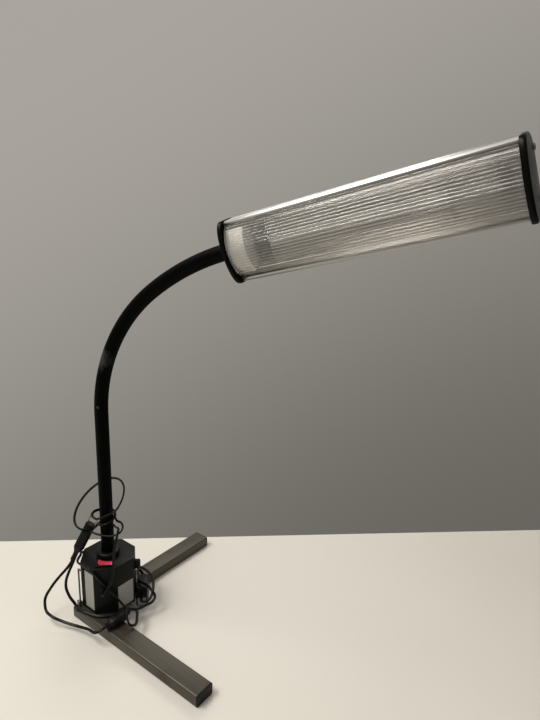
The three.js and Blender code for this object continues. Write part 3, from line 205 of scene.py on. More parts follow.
def lofted(name, stations, place, material, square=3.2, sides=40, crease=40):
    """A closed form through rounded oblongs. Each station is a height, a half width and a half depth."""
    rings = []
    for height, half_width, half_depth in stations:
        ring = []
        for angle in angles_round(sides):
            across, deep = math.cos(angle), math.sin(angle)
            x = half_width * math.copysign(abs(across) ** (2 / square), across)
            y = half_depth * math.copysign(abs(deep) ** (2 / square), deep)
            ring.append(place @ Vector((x, y, height)))
        rings.append(ring)
    return piece_of(name, skinned(bmesh.new(), rings), material, crease)


def rounded_end(height, half_width, half_depth, radius, rising, steps=4):
    """Stations that round off a lofted form's end over a quarter circle, in rising order."""
    stations = []
    for i in range(steps + 1):
        angle = math.pi / 2 * i / steps
        inset = radius * (1 - math.sin(angle))
        run = radius * (1 - math.cos(angle))
        stations.append((height + run if rising else height - run, half_width - inset, half_depth - inset))
    return stations if rising else stations[::-1]


def ridged(start, end, pitch, half_width, half_depth, ridge):
    """Stations of a length whose surface swells into even ridges."""
    stations = []
    for i in range(round((end - start) / pitch)):
        for share, lift in ((0.15, 0), (0.35, 1), (0.65, 1), (0.85, 0)):
            height = start + (i + share) * pitch
            stations.append((height, half_width + ridge * (lift - 1), half_depth + ridge * (lift - 1)))
    return stations


def dressed(piece, body, slot, *nodes):
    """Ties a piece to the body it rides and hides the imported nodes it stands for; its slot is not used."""
    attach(piece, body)
    if nodes:
        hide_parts(*nodes)
    return piece


def plain_mesh(piece):
    """The mesh that an object's modifiers make."""
    return bpy.data.meshes.new_from_object(piece.evaluated_get(bpy.context.evaluated_depsgraph_get()))


def softened(node, name, material, edge, slot, crease=35):
    """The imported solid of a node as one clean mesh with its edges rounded, in the solid's place."""
    mesh = bmesh.new()
    mesh.from_mesh(frame["nodes"][node].data)
    bmesh.ops.remove_doubles(mesh, verts=mesh.verts, dist=1e-6)
    bmesh.ops.dissolve_limit(mesh, angle_limit=math.radians(1), verts=mesh.verts, edges=mesh.edges)
    draft = piece_of(name + "_draft", mesh, material, crease)
    bevel = draft.modifiers.new("edge", "BEVEL")
    bevel.width = edge
    bevel.segments = 3
    bevel.limit_method = "ANGLE"
    bevel.angle_limit = math.radians(crease)
    bevel.use_clamp_overlap = True
    piece = shown(name, plain_mesh(draft), crease)
    bpy.data.objects.remove(draft)
    bodies = frame["record"]["behaviour"]["bodies"]
    return dressed(piece, next(body for body, nodes in bodies.items() if node in nodes), slot, node)


plug_axis = plug_top - plug_low
plug_length = plug_axis.length
plug_axis.normalize()
plug_across = (plug_across - plug_across.dot(plug_axis) * plug_axis).normalized()
plug_turn = Matrix((plug_across, plug_axis.cross(plug_across), plug_axis)).transposed()
plug_place = Matrix.Translation(plug_low) @ plug_turn.to_4x4()
moulded_black = finish(
    "moulded_black", (0.0035, 0.0036, 0.0038), 0.4, grain=1400, depth=0.12, patch=60, patchy=0.3,
    sockets={"Specular IOR Level": 0.16},
)
plug_stations = ridged(
    0, plug_neck, sleeve_pitch, plug_neck_half, plug_neck_half * plug_neck_flatness, plug_ridge,
)
shoulder_steps = 6
for step in range(shoulder_steps + 1):
    share = step / shoulder_steps
    swell = share * share * (3 - 2 * share)
    plug_stations.append((
        plug_neck + share * (plug_shoulder - plug_neck),
        plug_neck_half + swell * (plug_half_width - plug_neck_half),
        plug_neck_half + swell * (plug_half_thickness - plug_neck_half),
    ))
plug_grip_end = plug_length - plug_smooth_end
plug_stations += ridged(
    plug_grip_start, plug_grip_end, ridge_pitch, plug_half_width, plug_half_thickness, plug_ridge,
)
plug_stations += rounded_end(plug_length, plug_half_width, plug_half_thickness, plug_edge, rising=False)
plug_body = lofted("plug_body", plug_stations, plug_place, moulded_black)
dressed(plug_body, "stand_and_base", "black_plastic", "mains_plug")

blade_brass = finish(
    "blade_brass", (0.3, 0.23, 0.12), 0.34, metallic=1, grain=500, depth=0.08, patch=90, patchy=0.15,
)
blades = [
    softened(f"plug_prong_{number}", f"plug_blade_{number}", blade_brass, 0.0004, "brass")
    for number in (1, 2)
]

# Coupler
# The two black halves of an in-line connector, pushed end to end and lying across the front leg.
# Each is moulded round its cord's end, with finger ridges and a slim sleeve.
coupler_centre = Vector((0.07, 0.005, 0.02735))
coupler_half_length = 0.023
coupler_half_width = 0.0085
coupler_half_height = 0.0078
coupler_sleeve_half = 0.0042
coupler_sleeve = 0.007
coupler_seam = 0.00015
coupler_edge = 0.0008
coupler_grip_start = 0.004
coupler_neck_down = 0.004
coupler_shoulder_step = 0.001
coupler_shoulder_share = 0.9
coupler_sleeve_step = 0.0035
coupler_ridge = 0.0004
coupler_ridge_pitch = 0.0026
coupler_ring = 0.0005
coupler_ring_pitch = 0.0022


def coupler_half(name, node, side):
    """One half of the connector, from the seam in the middle out to the end of its sleeve."""
    place = Matrix.Translation(coupler_centre) @ Matrix.Rotation(-side * math.pi / 2, 4, "X")
    width, height, sleeve = coupler_half_width, coupler_half_height, coupler_sleeve_half
    grip_end = coupler_half_length - coupler_sleeve - coupler_neck_down
    sleeve_start = grip_end + coupler_neck_down
    shoulder = coupler_shoulder_share
    stations = [
        *rounded_end(coupler_seam, width, height, coupler_edge, rising=True),
        *ridged(coupler_grip_start, grip_end, coupler_ridge_pitch, width, height, coupler_ridge),
        (grip_end + coupler_shoulder_step, width * shoulder, height * shoulder),
        (grip_end + coupler_sleeve_step, sleeve, sleeve),
        *ridged(sleeve_start, coupler_half_length, coupler_ring_pitch, sleeve, sleeve, coupler_ring),
    ]
    half = lofted(name, stations, place, moulded_black)
    return dressed(half, "stand_and_base", "black_plastic", node)


coupler_rear = coupler_half("coupler_rear_half", "coupler_plug", 1)
coupler_front = coupler_half("coupler_front_half", "coupler_socket", -1)

# Supply unit
# A small black box that stands behind the housing's rear right side, with the cord going in at one
# end and out at the other through short tapered sleeves, and a bare pale plate on its end.
supply_place = Vector((0.0375, 0.0845, 0))
supply_half_length = 0.019
supply_plate_half_width = 0.0072
supply_plate_height = 0.0145
supply_plate_middle = 0.0095
supply_plate_thickness = 0.0003
lead_exit_height = 0.024
tail_exit_height = 0.022
sleeve_sink = 0.0008
outward = Vector((1, -1, 0)).normalized()
along_chamfer = Vector((1, 1, 0)).normalized()
upright = Vector((0, 0, 1))
seat_gap = 0.0003

supply_box = softened("supply_unit", "supply_box", moulded_black, 0.0012, "black_plastic", crease=40)


def turned(name, profile, foot, axis, material, sides=48, crease=35, wave=None):
    """A form turned about an axis: each profile point is a radius and a height above the foot."""
    place = Matrix.Translation(foot) @ axis.to_track_quat("Z", "Y").to_matrix().to_4x4()
    rings = []
    for radius, height in profile:
        ring = []
        for angle in angles_round(sides):
            reach = radius + (wave(angle, radius, height) if wave else 0)
            ring.append(place @ Vector((reach * math.cos(angle), reach * math.sin(angle), height)))
        rings.append(ring)
    mesh = skinned(bmesh.new(), rings)
    bmesh.ops.recalc_face_normals(mesh, faces=mesh.faces)
    return piece_of(name, mesh, material, crease)


def cord_sleeve(name, foot, axis, root, tip, length, rings):
    """A tapered moulded sleeve with raised rings, where a cord goes into a housing."""
    flange, rings_from, ringed_share, groove = 1.25, 0.12, 0.82, -0.08
    profile = [(root * flange, 0), (root * flange, length * 0.1)]
    for i in range(rings):
        start = length * (rings_from + ringed_share * i / rings)
        radius = root + (tip - root) * i / rings
        for share, lift in ((0.05, groove), (0.3, groove), (0.4, 0), (0.95, 0)):
            profile.append((radius * (1 + lift), start + share * length * ringed_share / rings))
    profile += [(tip, length * 0.97), (tip * 0.9, length)]
    return turned(name, profile, foot, axis, moulded_black, sides=32)


supply_sleeves = []
for name, direction, height in (
    ("lead_sleeve", -outward, lead_exit_height), ("tail_sleeve", outward, tail_exit_height),
):
    foot = supply_place + height * upright + (supply_half_length - sleeve_sink) * direction
    sleeve = cord_sleeve(name, foot, direction, root=0.0036, tip=0.0027, length=0.0048, rings=2)
    supply_sleeves.append(dressed(sleeve, "stand_and_base", "black_plastic"))

bare_plate = finish("bare_plate", (0.29, 0.295, 0.275), 0.4, grain=600, depth=0.05, patch=30, patchy=0.12)


def plate(name, centre, across, half_width, height, thickness):
    """A thin bare plate with rounded corners, standing upright on a flat face."""
    corner_share, steps = 0.12, 5
    corner = min(half_width, height / 2) * corner_share
    outline = []
    for sx, sy, first in ((1, 1, 0), (-1, 1, 90), (-1, -1, 180), (1, -1, 270)):
        for i in range(steps + 1):
            angle = math.radians(first + 90 * i / steps)
            x = sx * (half_width - corner) + corner * math.cos(angle)
            y = sy * (height / 2 - corner) + corner * math.sin(angle)
            outline.append(centre + x * across + y * upright)
    rings = [[point + lift * across.cross(upright) for point in outline] for lift in (0, thickness)]
    return piece_of(name, skinned(bmesh.new(), rings), bare_plate, crease=30)


supply_plate_foot = supply_place + (supply_half_length + seat_gap) * outward
supply_plate = plate(
    "supply_plate", supply_plate_foot + supply_plate_middle * upright, along_chamfer,
    supply_plate_half_width, supply_plate_height, supply_plate_thickness,
)
dressed(supply_plate, "stand_and_base", "plate_white")

# Strain relief
# A short tapered black sleeve, pushed through the housing's front chamfer from outside, that the
# lamp lead comes out of. Raised rings let it flex with the cord.
base_centre = Vector((0.009, 0.038, 0))
housing_half = 0.042
relief_height = 0.06605
relief_shift = -0.003
relief_length = 0.008
relief_rings_from = 0.0019
relief_ring_pitch = 0.002
relief_ring_radius = 0.0043
relief_ring_taper = 0.0004
relief_groove = 0.0004
relief_foot = base_centre + housing_half * outward + relief_shift * along_chamfer + relief_height * upright
relief_profile = [
    (0.0035, -0.002), (0.0035, 0), (0.0053, 0), (0.0056, 0.0003), (0.0056, 0.0014), (0.0053, 0.0017),
]
for ring in range(3):
    start = relief_rings_from + ring * relief_ring_pitch
    radius = relief_ring_radius - ring * relief_ring_taper
    for inset, height in ((relief_groove, 0), (relief_groove, 0.0006), (0, 0.0008), (0, 0.0018)):
        relief_profile.append((radius - inset, start + height))
relief_profile += [(0.0031, 0.0079), (0.0027, relief_length)]
relief_sleeve = turned("relief_sleeve", relief_profile, relief_foot, outward, moulded_black)
dressed(relief_sleeve, "stand_and_base", "black_plastic", "strain_relief")

# Cords
# One black twin lead in three stretches: from the mains plug to the coupler, from the coupler round
# the housing to the supply unit, and from there, looped and wound round the neck, to the housing.
cord_width = 0.0046
cord_core = 0.0015
cord_stub = 0.005
route_step = 0.0022
mains_points = [
    (-0.0373, -0.012, 0.0797), (-0.0412, -0.0218, 0.0701), (-0.0476, -0.0345, 0.0534),
    (-0.0516, -0.0445, 0.0354), (-0.0457, -0.0483, 0.0185), (-0.0264, -0.0496, 0.017),
    (-0.0082, -0.0419, 0.012), (0.0167, -0.0331, 0.011), (0.0412, -0.0297, 0.016), (0.064, -0.031, 0.023),
]
tail_points = [
    (0.075, 0.0385, 0.027), (0.0897, 0.0283, 0.0245), (0.0976, 0.0185, 0.023), (0.095, 0.0114, 0.025),
    (0.0915, 0.0082, 0.035), (0.0857, 0.0123, 0.046), (0.057, 0.0232, 0.0404), (0.0525, 0.0136, 0.0583),
    (0.0438, 0.0083, 0.0694), (0.0374, 0.0022, 0.0811), (0.0314, -0.0041, 0.094), (0.0233, -0.008, 0.1026),
    (0.0093, -0.0082, 0.1036), (-0.008, -0.009, 0.1045), (-0.016, -0.0015, 0.1045),
    (-0.0245, 0.008, 0.1015), (-0.0348, 0.0162, 0.097), (-0.0372, 0.028, 0.092), (-0.037, 0.048, 0.08),
    (-0.032, 0.07, 0.064), (-0.019, 0.089, 0.05), (-0.002, 0.103, 0.04), (0.016, 0.112, 0.032),
    (0.034, 0.11, 0.0265), (0.049, 0.099, 0.024), (0.061, 0.086, 0.023), (0.0675, 0.076, 0.0225),
    (0.0692, 0.0685, 0.022), (0.0674, 0.0633, 0.022), (0.063, 0.0613, 0.022), (0.0588, 0.0633, 0.022),
]
lead_first_points = [
    (0.015, 0.1045, 0.0275), (0.01, 0.102, 0.0355), (0.0135, 0.094, 0.041), (0.025, 0.0865, 0.0415),
    (0.0385, 0.0773, 0.0415), (0.057, 0.078, 0.041), (0.0712, 0.0764, 0.038), (0.0797, 0.0753, 0.031),
    (0.081, 0.0686, 0.026), (0.0771, 0.0578, 0.024), (0.0721, 0.043, 0.023), (0.0563, 0.028, 0.0232),
    (0.0553, 0.018, 0.0222), (0.0475, 0.005, 0.022), (0.038, -0.0045, 0.022), (0.027, -0.0095, 0.022),
    (0.012, -0.014, 0.0225), (0, -0.0203, 0.025), (-0.0076, -0.0181, 0.0296), (-0.0154, -0.0222, 0.0426),
    (-0.0246, -0.0222, 0.0553), (-0.0317, -0.0168, 0.064), (-0.0383, -0.0062, 0.0722),
    (-0.0446, 0.0056, 0.0792), (-0.0444, 0.0141, 0.0931), (-0.038, 0.0226, 0.1127),
    (-0.029, 0.0311, 0.1304), (-0.0033, 0.0483, 0.163), (0.0053, 0.0517, 0.1665), (0.0139, 0.0513, 0.166),
    (0.0197, 0.0503, 0.1626), (0.0277, 0.052, 0.1618), (0.0342, 0.0502, 0.1573), (0.0362, 0.0448, 0.152),
    (0.0336, 0.0379, 0.1486), (0.0271, 0.0312, 0.1464), (0.0153, 0.025, 0.1461), (0.0026, 0.0208, 0.1459),
    (-0.0082, 0.0163, 0.1485),
]
lead_small_loop_points = [
    (0.033, 0.0372, 0.191), (0.0268, 0.0311, 0.1861), (0.0188, 0.0262, 0.1811), (0.0099, 0.0229, 0.1752),
    (0, 0.0214, 0.1732), (-0.0067, 0.0215, 0.1768), (-0.0075, 0.0273, 0.1804), (-0.0061, 0.036, 0.1805),
]
lead_last_points = [
    (0.0163, 0.0506, 0.149), (0.0271, 0.0465, 0.154), (0.035, 0.0404, 0.1568), (0.0419, 0.0334, 0.1554),
    (0.0457, 0.0277, 0.1489), (0.0481, 0.0221, 0.1383), (0.0504, 0.0177, 0.1235), (0.0535, 0.0138, 0.1087),
    (0.0562, 0.0092, 0.0962), (0.0588, 0.0031, 0.0872), (0.0526, -0.0058, 0.0685),
]
loop_steps = 24
ring_centre = Vector((-0.0026, 0.0324, 0.1929))
ring_long_axis = Vector((0.0086, 0.0417, 0.0281))
ring_short_axis = Vector((-0.0275, 0.0011, 0.0159))
ring_start = 195
ring_end = -55
ring_start_share = 0.9
winding_radius = 0.0138
winding_start = 160
winding_end = -285
winding_top = 0.1825
winding_bottom = 0.1485


def places(points):
    """Points as vectors."""
    return [Vector(point) for point in points]


def stub(face, direction):
    """A cord's first stretch, straight out of the face that it leaves."""
    start = face + seat_gap * direction
    return [start, start + cord_stub * direction]


def part_turn(first, last):
    """Angles from the first to the last, in even steps, each with its share of the way."""
    steps = round(loop_steps * abs(last - first) / 360)
    return [(math.radians(first + (last - first) * i / steps), i / steps) for i in range(steps + 1)]


def ring_loop():
    """The large loose loop round the neck: a tilted oval that opens a little as it goes."""
    points = []
    for angle, way in part_turn(ring_start, ring_end):
        share = ring_start_share + (1 - ring_start_share) * way
        oval = math.cos(angle) * ring_long_axis + math.sin(angle) * ring_short_axis
        points.append(ring_centre + share * oval)
    return points


def neck_winding():
    """The turns on the neck, coming down round it."""
    points = []
    for angle, way in part_turn(winding_start, winding_end):
        height = winding_top + (winding_bottom - winding_top) * way
        x, y = winding_radius * math.cos(angle), winding_radius * math.sin(angle)
        points.append(base_centre + Vector((x, y, height)))
    return points


def smooth_route(points):
    """Places about one step apart on a centripetal spline through the points."""
    held = [2 * points[0] - points[1], *points, 2 * points[-1] - points[-2]]
    route = []
    for before, start, end, after in zip(held, held[1:], held[2:], held[3:]):
        first, middle, last = (math.sqrt(way.length) for way in (start - before, end - start, after - end))
        straight = (end - start) / middle
        leave = ((start - before) / first - (end - before) / (first + middle) + straight) * middle
        arrive = (straight - (after - start) / (middle + last) + (after - end) / last) * middle
        count = max(1, round((end - start).length / route_step))
        for t in (i / count for i in range(count)):
            u = 1 - t
            from_start = u * u * (1 + 2 * t) * start + t * u * u * leave
            route.append(from_start + t * t * (3 - 2 * t) * end - t * t * u * arrive)
    route.append(points[-1])
    return route


def swept(name, route, outline, material, crease=60):
    """A tube: the outline is carried along the route without twisting, and closed at both ends."""
    rings = []
    side = (route[1] - route[0]).cross(upright).normalized()
    for i, place in enumerate(route):
        ahead = (route[min(i + 1, len(route) - 1)] - route[max(i - 1, 0)]).normalized()
        side = (side - side.dot(ahead) * ahead).normalized()
        other = ahead.cross(side)
        rings.append([place + x * side + y * other for x, y in outline])
    return piece_of(name, skinned(bmesh.new(), rings), material, crease)


def twin_outline(sides=20):
    """The cord's section: two round cores side by side in one jacket, with a shallow groove between."""
    offset = cord_width / 2 - cord_core
    outline = []
    for angle in angles_round(sides):
        reach = offset * abs(math.cos(angle)) + math.sqrt(cord_core ** 2 - (offset * math.sin(angle)) ** 2)
        outline.append((reach * math.cos(angle), reach * math.sin(angle)))
    return outline


def cord_stretch(name, node, points, length, **facts):
    """One stretch of the lead, swept along a smooth route through its points."""
    route = smooth_route(points)
    piece = swept(name, route, twin_outline(), cord_jacket)
    dressed(piece, "stand_and_base", "cord_black", node)


cord_jacket = finish(
    "cord_jacket", (0.003, 0.003, 0.0032), 0.36, grain=1600, depth=0.1, patch=90, patchy=0.35,
    sockets={"Specular IOR Level": 0.18},
)
relief_face = relief_foot + (seat_gap + relief_length) * outward
supply_front = supply_place + supply_half_length * outward
supply_back = supply_place - supply_half_length * outward
lead_points = [
    *stub(relief_face, outward), *places(lead_last_points)[::-1], *neck_winding()[::-1],
    *places(lead_small_loop_points)[::-1], *ring_loop()[::-1], *places(lead_first_points)[::-1],
    *stub(supply_back + lead_exit_height * upright, -outward)[::-1],
]
cord_stretch(
    "lead_cord", "lamp_lead", lead_points, 1.09, far_end="connector",
    with_pieces=[supply_box, *supply_sleeves],
)
along_rear = Vector((0, 1, 0))
coupler_reach = coupler_half_length * along_rear
tail_route_points = [
    *stub(supply_front + tail_exit_height * upright, outward), *places(tail_points)[::-1],
    *stub(coupler_centre + coupler_reach, along_rear)[::-1],
]
cord_stretch(
    "tail_cord", "supply_tail", tail_route_points, 0.495, far_end="connector",
    with_pieces=[coupler_rear, coupler_front],
)
mains_route_points = [
    *stub(coupler_centre - coupler_reach, -along_rear), *places(mains_points)[::-1],
    *stub(plug_low, -plug_axis)[::-1],
]
cord_stretch(
    "mains_cord", "mains_lead", mains_route_points, 0.226, far_end="plug", with_pieces=[plug_body, *blades],
)

# Stand
# Two lengths of bare rectangular steel tube welded into an L, with a black moulded cap in each open
# end. The tube is drawn: fine streaks run along each leg, with brown stains and some rust in front.
leg_width = 0.03175
leg_height = 0.01905
weld_low = 0.0039
weld_top = 0.01515
weld_ripple = 0.0012
steel_colour = (0.075, 0.069, 0.055)
stain_brown = (0.042, 0.033, 0.025)
rust_orange = (0.07, 0.038, 0.024)


def worked_out(tree, operation, *values):
    """The output of a maths node given values or other nodes' outputs."""
    node = tree.nodes.new("ShaderNodeMath")
    node.operation = operation
    for socket, value in zip(node.inputs, values):
        if isinstance(value, bpy.types.NodeSocket):
            tree.links.new(value, socket)
        else:
            socket.default_value = value
    return node.outputs["Value"]


def measured(tree, operation, first, second):
    """The number that a vector maths node gives for two places or directions."""
    node = node_in(tree, "ShaderNodeVectorMath", {0: first, 1: second})
    node.operation = operation
    return node.outputs["Value"]


def mixed(tree, share, under, over):
    """The colour that a mix node gives: one laid over another, as much as the share's output says."""
    mix = tree.nodes.new("ShaderNodeMix")
    mix.data_type = "RGBA"
    tree.links.new(share, mix.inputs[0])
    if isinstance(under, bpy.types.NodeSocket):
        tree.links.new(under, mix.inputs[6])
    else:
        mix.inputs[6].default_value = (*under, 1)
    mix.inputs[7].default_value = (*over, 1)
    return mix.outputs[2]


def tinted(material, share, colour):
    """Lays another colour over a material's own, as much as the share's output says."""
    tree = material.node_tree
    own = tree.nodes["Principled BSDF"].inputs["Base Color"]
    tree.links.new(mixed(tree, share, own.links[0].from_socket, colour), own)
    return material


def marked(material, centre, reach, colour, amount, ragged=0.6, level=None):
    """Works a ragged mark of another colour into a material, round one place or at every high spot."""
    fade, level_fade = 0.6, 0.12
    tree = material.node_tree
    place = tree.nodes.new("ShaderNodeTexCoord").outputs["Object"]
    noise = node_in(tree, "ShaderNodeTexNoise", {
        "Vector": place, "Scale": 3 / reach, "Detail": 6.0, "Roughness": 0.7,
    }).outputs["Fac"]
    if level is None:
        near = worked_out(tree, "DIVIDE", measured(tree, "DISTANCE", place, centre), reach)
        rough_edge = worked_out(tree, "MULTIPLY_ADD", noise, 2 * ragged, near)
        share = ranged(tree, rough_edge, ragged + 1 - fade, ragged + 1, amount, 0.0)
    else:
        share = ranged(tree, noise, level, level + level_fade, 0.0, amount)
    return tinted(material, share.outputs["Result"], colour)


def drawn_steel(name, stretch):
    """Bare drawn steel tube, streaked along one axis and stained brown in places."""
    steel = finish(
        name, steel_colour, 0.44, metallic=0.7, grain=1500, depth=0.25, patch=260, patchy=0.2,
        stretch=stretch,
    )
    return marked(steel, (0, 0, 0), 0.09, stain_brown, 0.3, level=0.55)


front_steel = drawn_steel("front_steel", (22, 1, 1))
marked(front_steel, (0.09, 0.004, leg_height), 0.009, rust_orange, 0.8)
marked(front_steel, (0.2, -leg_width / 2, 0.004), 0.02, stain_brown, 0.7)
rear_steel = drawn_steel("rear_steel", (1, 22, 1))
softened("front_leg", "front_tube", front_steel, 0.0003, "mill_steel", crease=40)
softened("rear_leg", "rear_tube", rear_steel, 0.0003, "mill_steel", crease=40)
for node, name in (
    ("front_leg_cap", "front_end_cap"), ("corner_cap", "corner_end_cap"), ("rear_leg_cap", "rear_end_cap"),
):
    softened(node, name, moulded_black, 0.0005, "black_plastic", crease=40)

weld_steel = finish(
    "weld_steel", (0.2, 0.19, 0.18), 0.38, metallic=0.85, grain=2500, depth=0.4, patch=300, patchy=0.35,
)


def weld_bead(name, node, place, half_width, half_depth):
    """A weld run from the foot up: overlapping ripples, thinner where it starts and stops."""
    taper_from, taper_depth = 0.75, 0.5
    stations = []
    count = round((weld_top - weld_low) / weld_ripple)
    for i in range(count):
        for share, swell in ((0, 0.84), (0.3, 0.97), (0.65, 1), (0.95, 0.9)):
            along = (i + share) / count
            taper = 1 - taper_depth * max(0, abs(2 * along - 1) - taper_from) / (1 - taper_from)
            height = weld_low + along * (weld_top - weld_low)
            stations.append((height, half_width * swell * taper, half_depth * swell * taper))
    bead = lofted(name, stations, place, weld_steel, square=2, sides=20, crease=50)
    dressed(bead, "stand_and_base", "plain_steel", node)


corner = leg_width / 2
inner_corner = Vector((corner + 0.0008, corner + 0.0008, 0))
inner_place = Matrix.Translation(inner_corner) @ Matrix.Rotation(math.pi / 4, 4, "Z")
outer_place = Matrix.Translation((-corner - 0.0001, corner + 0.0036, 0))
weld_bead("inner_bead", "inner_weld", inner_place, half_width=0.0021, half_depth=0.0024)
weld_bead("outer_bead", "outer_weld", outer_place, half_width=0.0014, half_depth=0.0034)

stop_steel = finish(
    "stop_steel", (0.2, 0.2, 0.2), 0.36, metallic=0.8, grain=1200, depth=0.2, patch=120, patchy=0.3,
)
softened("base_stop", "stop_strip", stop_steel, 0.0005, "plain_steel")

# Magnetic base
# An eight-sided moulded housing, black with a trace of green, that hides a ferrite magnet between two
# steel shoes and the lamp's ballast. Two of its faces carry thin blank plates.
housing_edge = 0.0009
tall_plate_centre = Vector((0.014, -0.0043, 0.05895))
tall_plate_half_width = 0.011
tall_plate_height = 0.066
square_plate_centre = Vector((0.0513, 0.038, 0.04595))
square_plate_half_width = 0.015
square_plate_height = 0.042
plate_thickness = 0.00045
chalk_grey = (0.02, 0.022, 0.02)

housing_black = finish(
    "housing_black", (0.003, 0.0046, 0.0038), 0.42, grain=1100, depth=0.25, patch=35, patchy=0.25,
    sockets={"Specular IOR Level": 0.12},
)
marked(housing_black, (0, 0, 0), 0.012, chalk_grey, 0.35, level=0.63)
softened("housing_shell", "housing_case", housing_black, housing_edge, "housing_black")
softened("housing_floor", "housing_base", moulded_black, 0.0004, "black_plastic")
ground_steel = finish(
    "ground_steel", (0.5, 0.49, 0.47), 0.3, metallic=0.95, grain=700, depth=0.2, patch=90, patchy=0.15,
    stretch=(12, 1, 1),
)
for node, name in (("front_shoe", "front_pole"), ("rear_shoe", "rear_pole"), ("magnet_yoke", "yoke_plate")):
    softened(node, name, ground_steel, 0.0005, "plain_steel")
ferrite_grey = finish(
    "ferrite_grey", (0.045, 0.045, 0.05), 0.62, grain=2600, depth=0.5, patch=200, patchy=0.3,
)
softened("ferrite_magnet", "magnet_block", ferrite_grey, 0.0006, "ferrite")
board_green = finish(
    "board_green", (0.02, 0.13, 0.05), 0.35, grain=1800, depth=0.15, patch=260, patchy=0.3,
)
softened("ballast_board", "circuit_plate", board_green, 0.0002, "circuit_board")
tape_copper = finish(
    "tape_copper", (0.55, 0.33, 0.1), 0.4, metallic=0.4, grain=500, depth=0.2, patch=120, patchy=0.25,
)
softened("ballast_choke", "wound_choke", tape_copper, 0.0012, "copper_tape")
can_sleeve = finish(
    "can_sleeve", (0.05, 0.052, 0.06), 0.32, grain=900, depth=0.1, patch=120, patchy=0.2,
)
softened("ballast_capacitor", "capacitor_can", can_sleeve, 0.0006, "ferrite")

tall_blank = plate(
    "tall_blank_plate", tall_plate_centre, Vector((1, 0, 0)), tall_plate_half_width, tall_plate_height,
    plate_thickness,
)
dressed(tall_blank, "stand_and_base", "plate_white", "tall_plate")
square_blank = plate(
    "square_blank_plate", square_plate_centre, along_rear, square_plate_half_width, square_plate_height,
    plate_thickness,
)
dressed(square_blank, "stand_and_base", "plate_white", "square_plate")

# Floor screws
# Two small steel screws with crossed slots, sunk in the housing's floor. One screw is made once, and a
# node tree sets a copy of it on each place, turned as that place's own turn says.
screw_head_radius = 0.0028
screw_head_height = 0.0016
screw_shank_radius = 0.0014
floor_screw_length = 0.0095
cross_slot_width = 0.0006
cross_slot_depth = 0.0009
cross_slot_share = 0.6
screw_tip_share = 0.5
cutter_rise = 0.001
floor_level = leg_height + 0.0021
housing_wall = 0.003
post_inset = 0.0062
screw_steel = finish(
    "screw_steel", (0.2, 0.195, 0.185), 0.36, metallic=0.9, grain=900, depth=0.1, patch=300, patchy=0.2,
)


def carved(piece, cutter):
    """Takes the cutter's form out of the piece."""
    cut = piece.modifiers.new("cut", "BOOLEAN")
    cut.object = cutter
    cut.solver = "EXACT"
    data = plain_mesh(piece)
    piece.modifiers.clear()
    piece.data = data
    bpy.data.objects.remove(cutter)


def cross_screw(name, head_radius, head_height, shank_radius, shank_length):
    """A round-headed screw along Z, its head below z = 0 and its shank above, with a crossed slot."""
    domed = ((0.45, 1), (0.75, 0.86), (0.93, 0.5), (1, 0.12), (1, 0))
    profile = [(head_radius * share, -head_height * depth) for share, depth in domed]
    profile += [(shank_radius, 0), (shank_radius, shank_length)]
    profile.append((shank_radius * screw_tip_share, shank_length + shank_radius))
    screw = turned(name, profile, Vector(), upright, screw_steel, sides=32)
    slot_half = head_radius * cross_slot_share
    for turn in (0, math.pi / 2):
        stations = [
            (height, slot_half, cross_slot_width / 2)
            for height in (-head_height - cutter_rise, cross_slot_depth - head_height)
        ]
        place = Matrix.Rotation(turn, 4, "Z")
        carved(screw, lofted(name + "_slot", stations, place, screw_steel, square=12, sides=24))
    return screw


def node_tree(name, sockets):
    """A Geometry Nodes tree with a mesh input and more named inputs, and what its inputs give."""
    tree = bpy.data.node_groups.new(name, "GeometryNodeTree")
    tree.interface.new_socket("Geometry", in_out="INPUT", socket_type="NodeSocketGeometry")
    for label, kind in sockets.items():
        tree.interface.new_socket(label, in_out="INPUT", socket_type="NodeSocket" + kind)
    tree.interface.new_socket("Geometry", in_out="OUTPUT", socket_type="NodeSocketGeometry")
    return tree, tree.nodes.new("NodeGroupInput").outputs


def tree_ends(tree, shape, material):
    """Ends a tree: real geometry in one material."""
    real = node_in(tree, "GeometryNodeRealizeInstances", {"Geometry": shape})
    painted = node_in(tree, "GeometryNodeSetMaterial", {
        "Geometry": real.outputs["Geometry"], "Material": material,
    })
    node_in(tree, "NodeGroupOutput", {"Geometry": painted.outputs["Geometry"]})


def grown(name, tree, mesh, values, crease=35):
    """The plain mesh that a tree grows from a bmesh, with each named input given its value."""
    data = bpy.data.meshes.new(name + "_start")
    mesh.to_mesh(data)
    mesh.free()
    seed = bpy.data.objects.new(name + "_start", data)
    scene.collection.objects.link(seed)
    modifier = seed.modifiers.new("grow", "NODES")
    modifier.node_group = tree
    for socket in tree.interface.items_tree:
        if socket.in_out == "INPUT" and socket.name in values:
            modifier[socket.identifier] = values[socket.name]
    piece = shown(name, plain_mesh(seed), crease)
    bpy.data.objects.remove(seed)
    return piece


screws_tree, given = node_tree("screws_on_places", {
    "Screw": "Object", "Scale": "Float", "Material": "Material",
})
turn_of_place = node_in(screws_tree, "GeometryNodeInputNamedAttribute", {"Name": "turn"})
turn_of_place.data_type = "FLOAT_VECTOR"
turn_from_angles = node_in(screws_tree, "FunctionNodeEulerToRotation", {
    "Euler": turn_of_place.outputs["Attribute"],
})
screw_shape = node_in(screws_tree, "GeometryNodeObjectInfo", {"Object": given["Screw"]})
screws_set = node_in(screws_tree, "GeometryNodeInstanceOnPoints", {
    "Points": given["Geometry"], "Instance": screw_shape.outputs["Geometry"],
    "Rotation": turn_from_angles.outputs["Rotation"], "Scale": given["Scale"],
})
tree_ends(screws_tree, screws_set.outputs["Instances"], given["Material"])


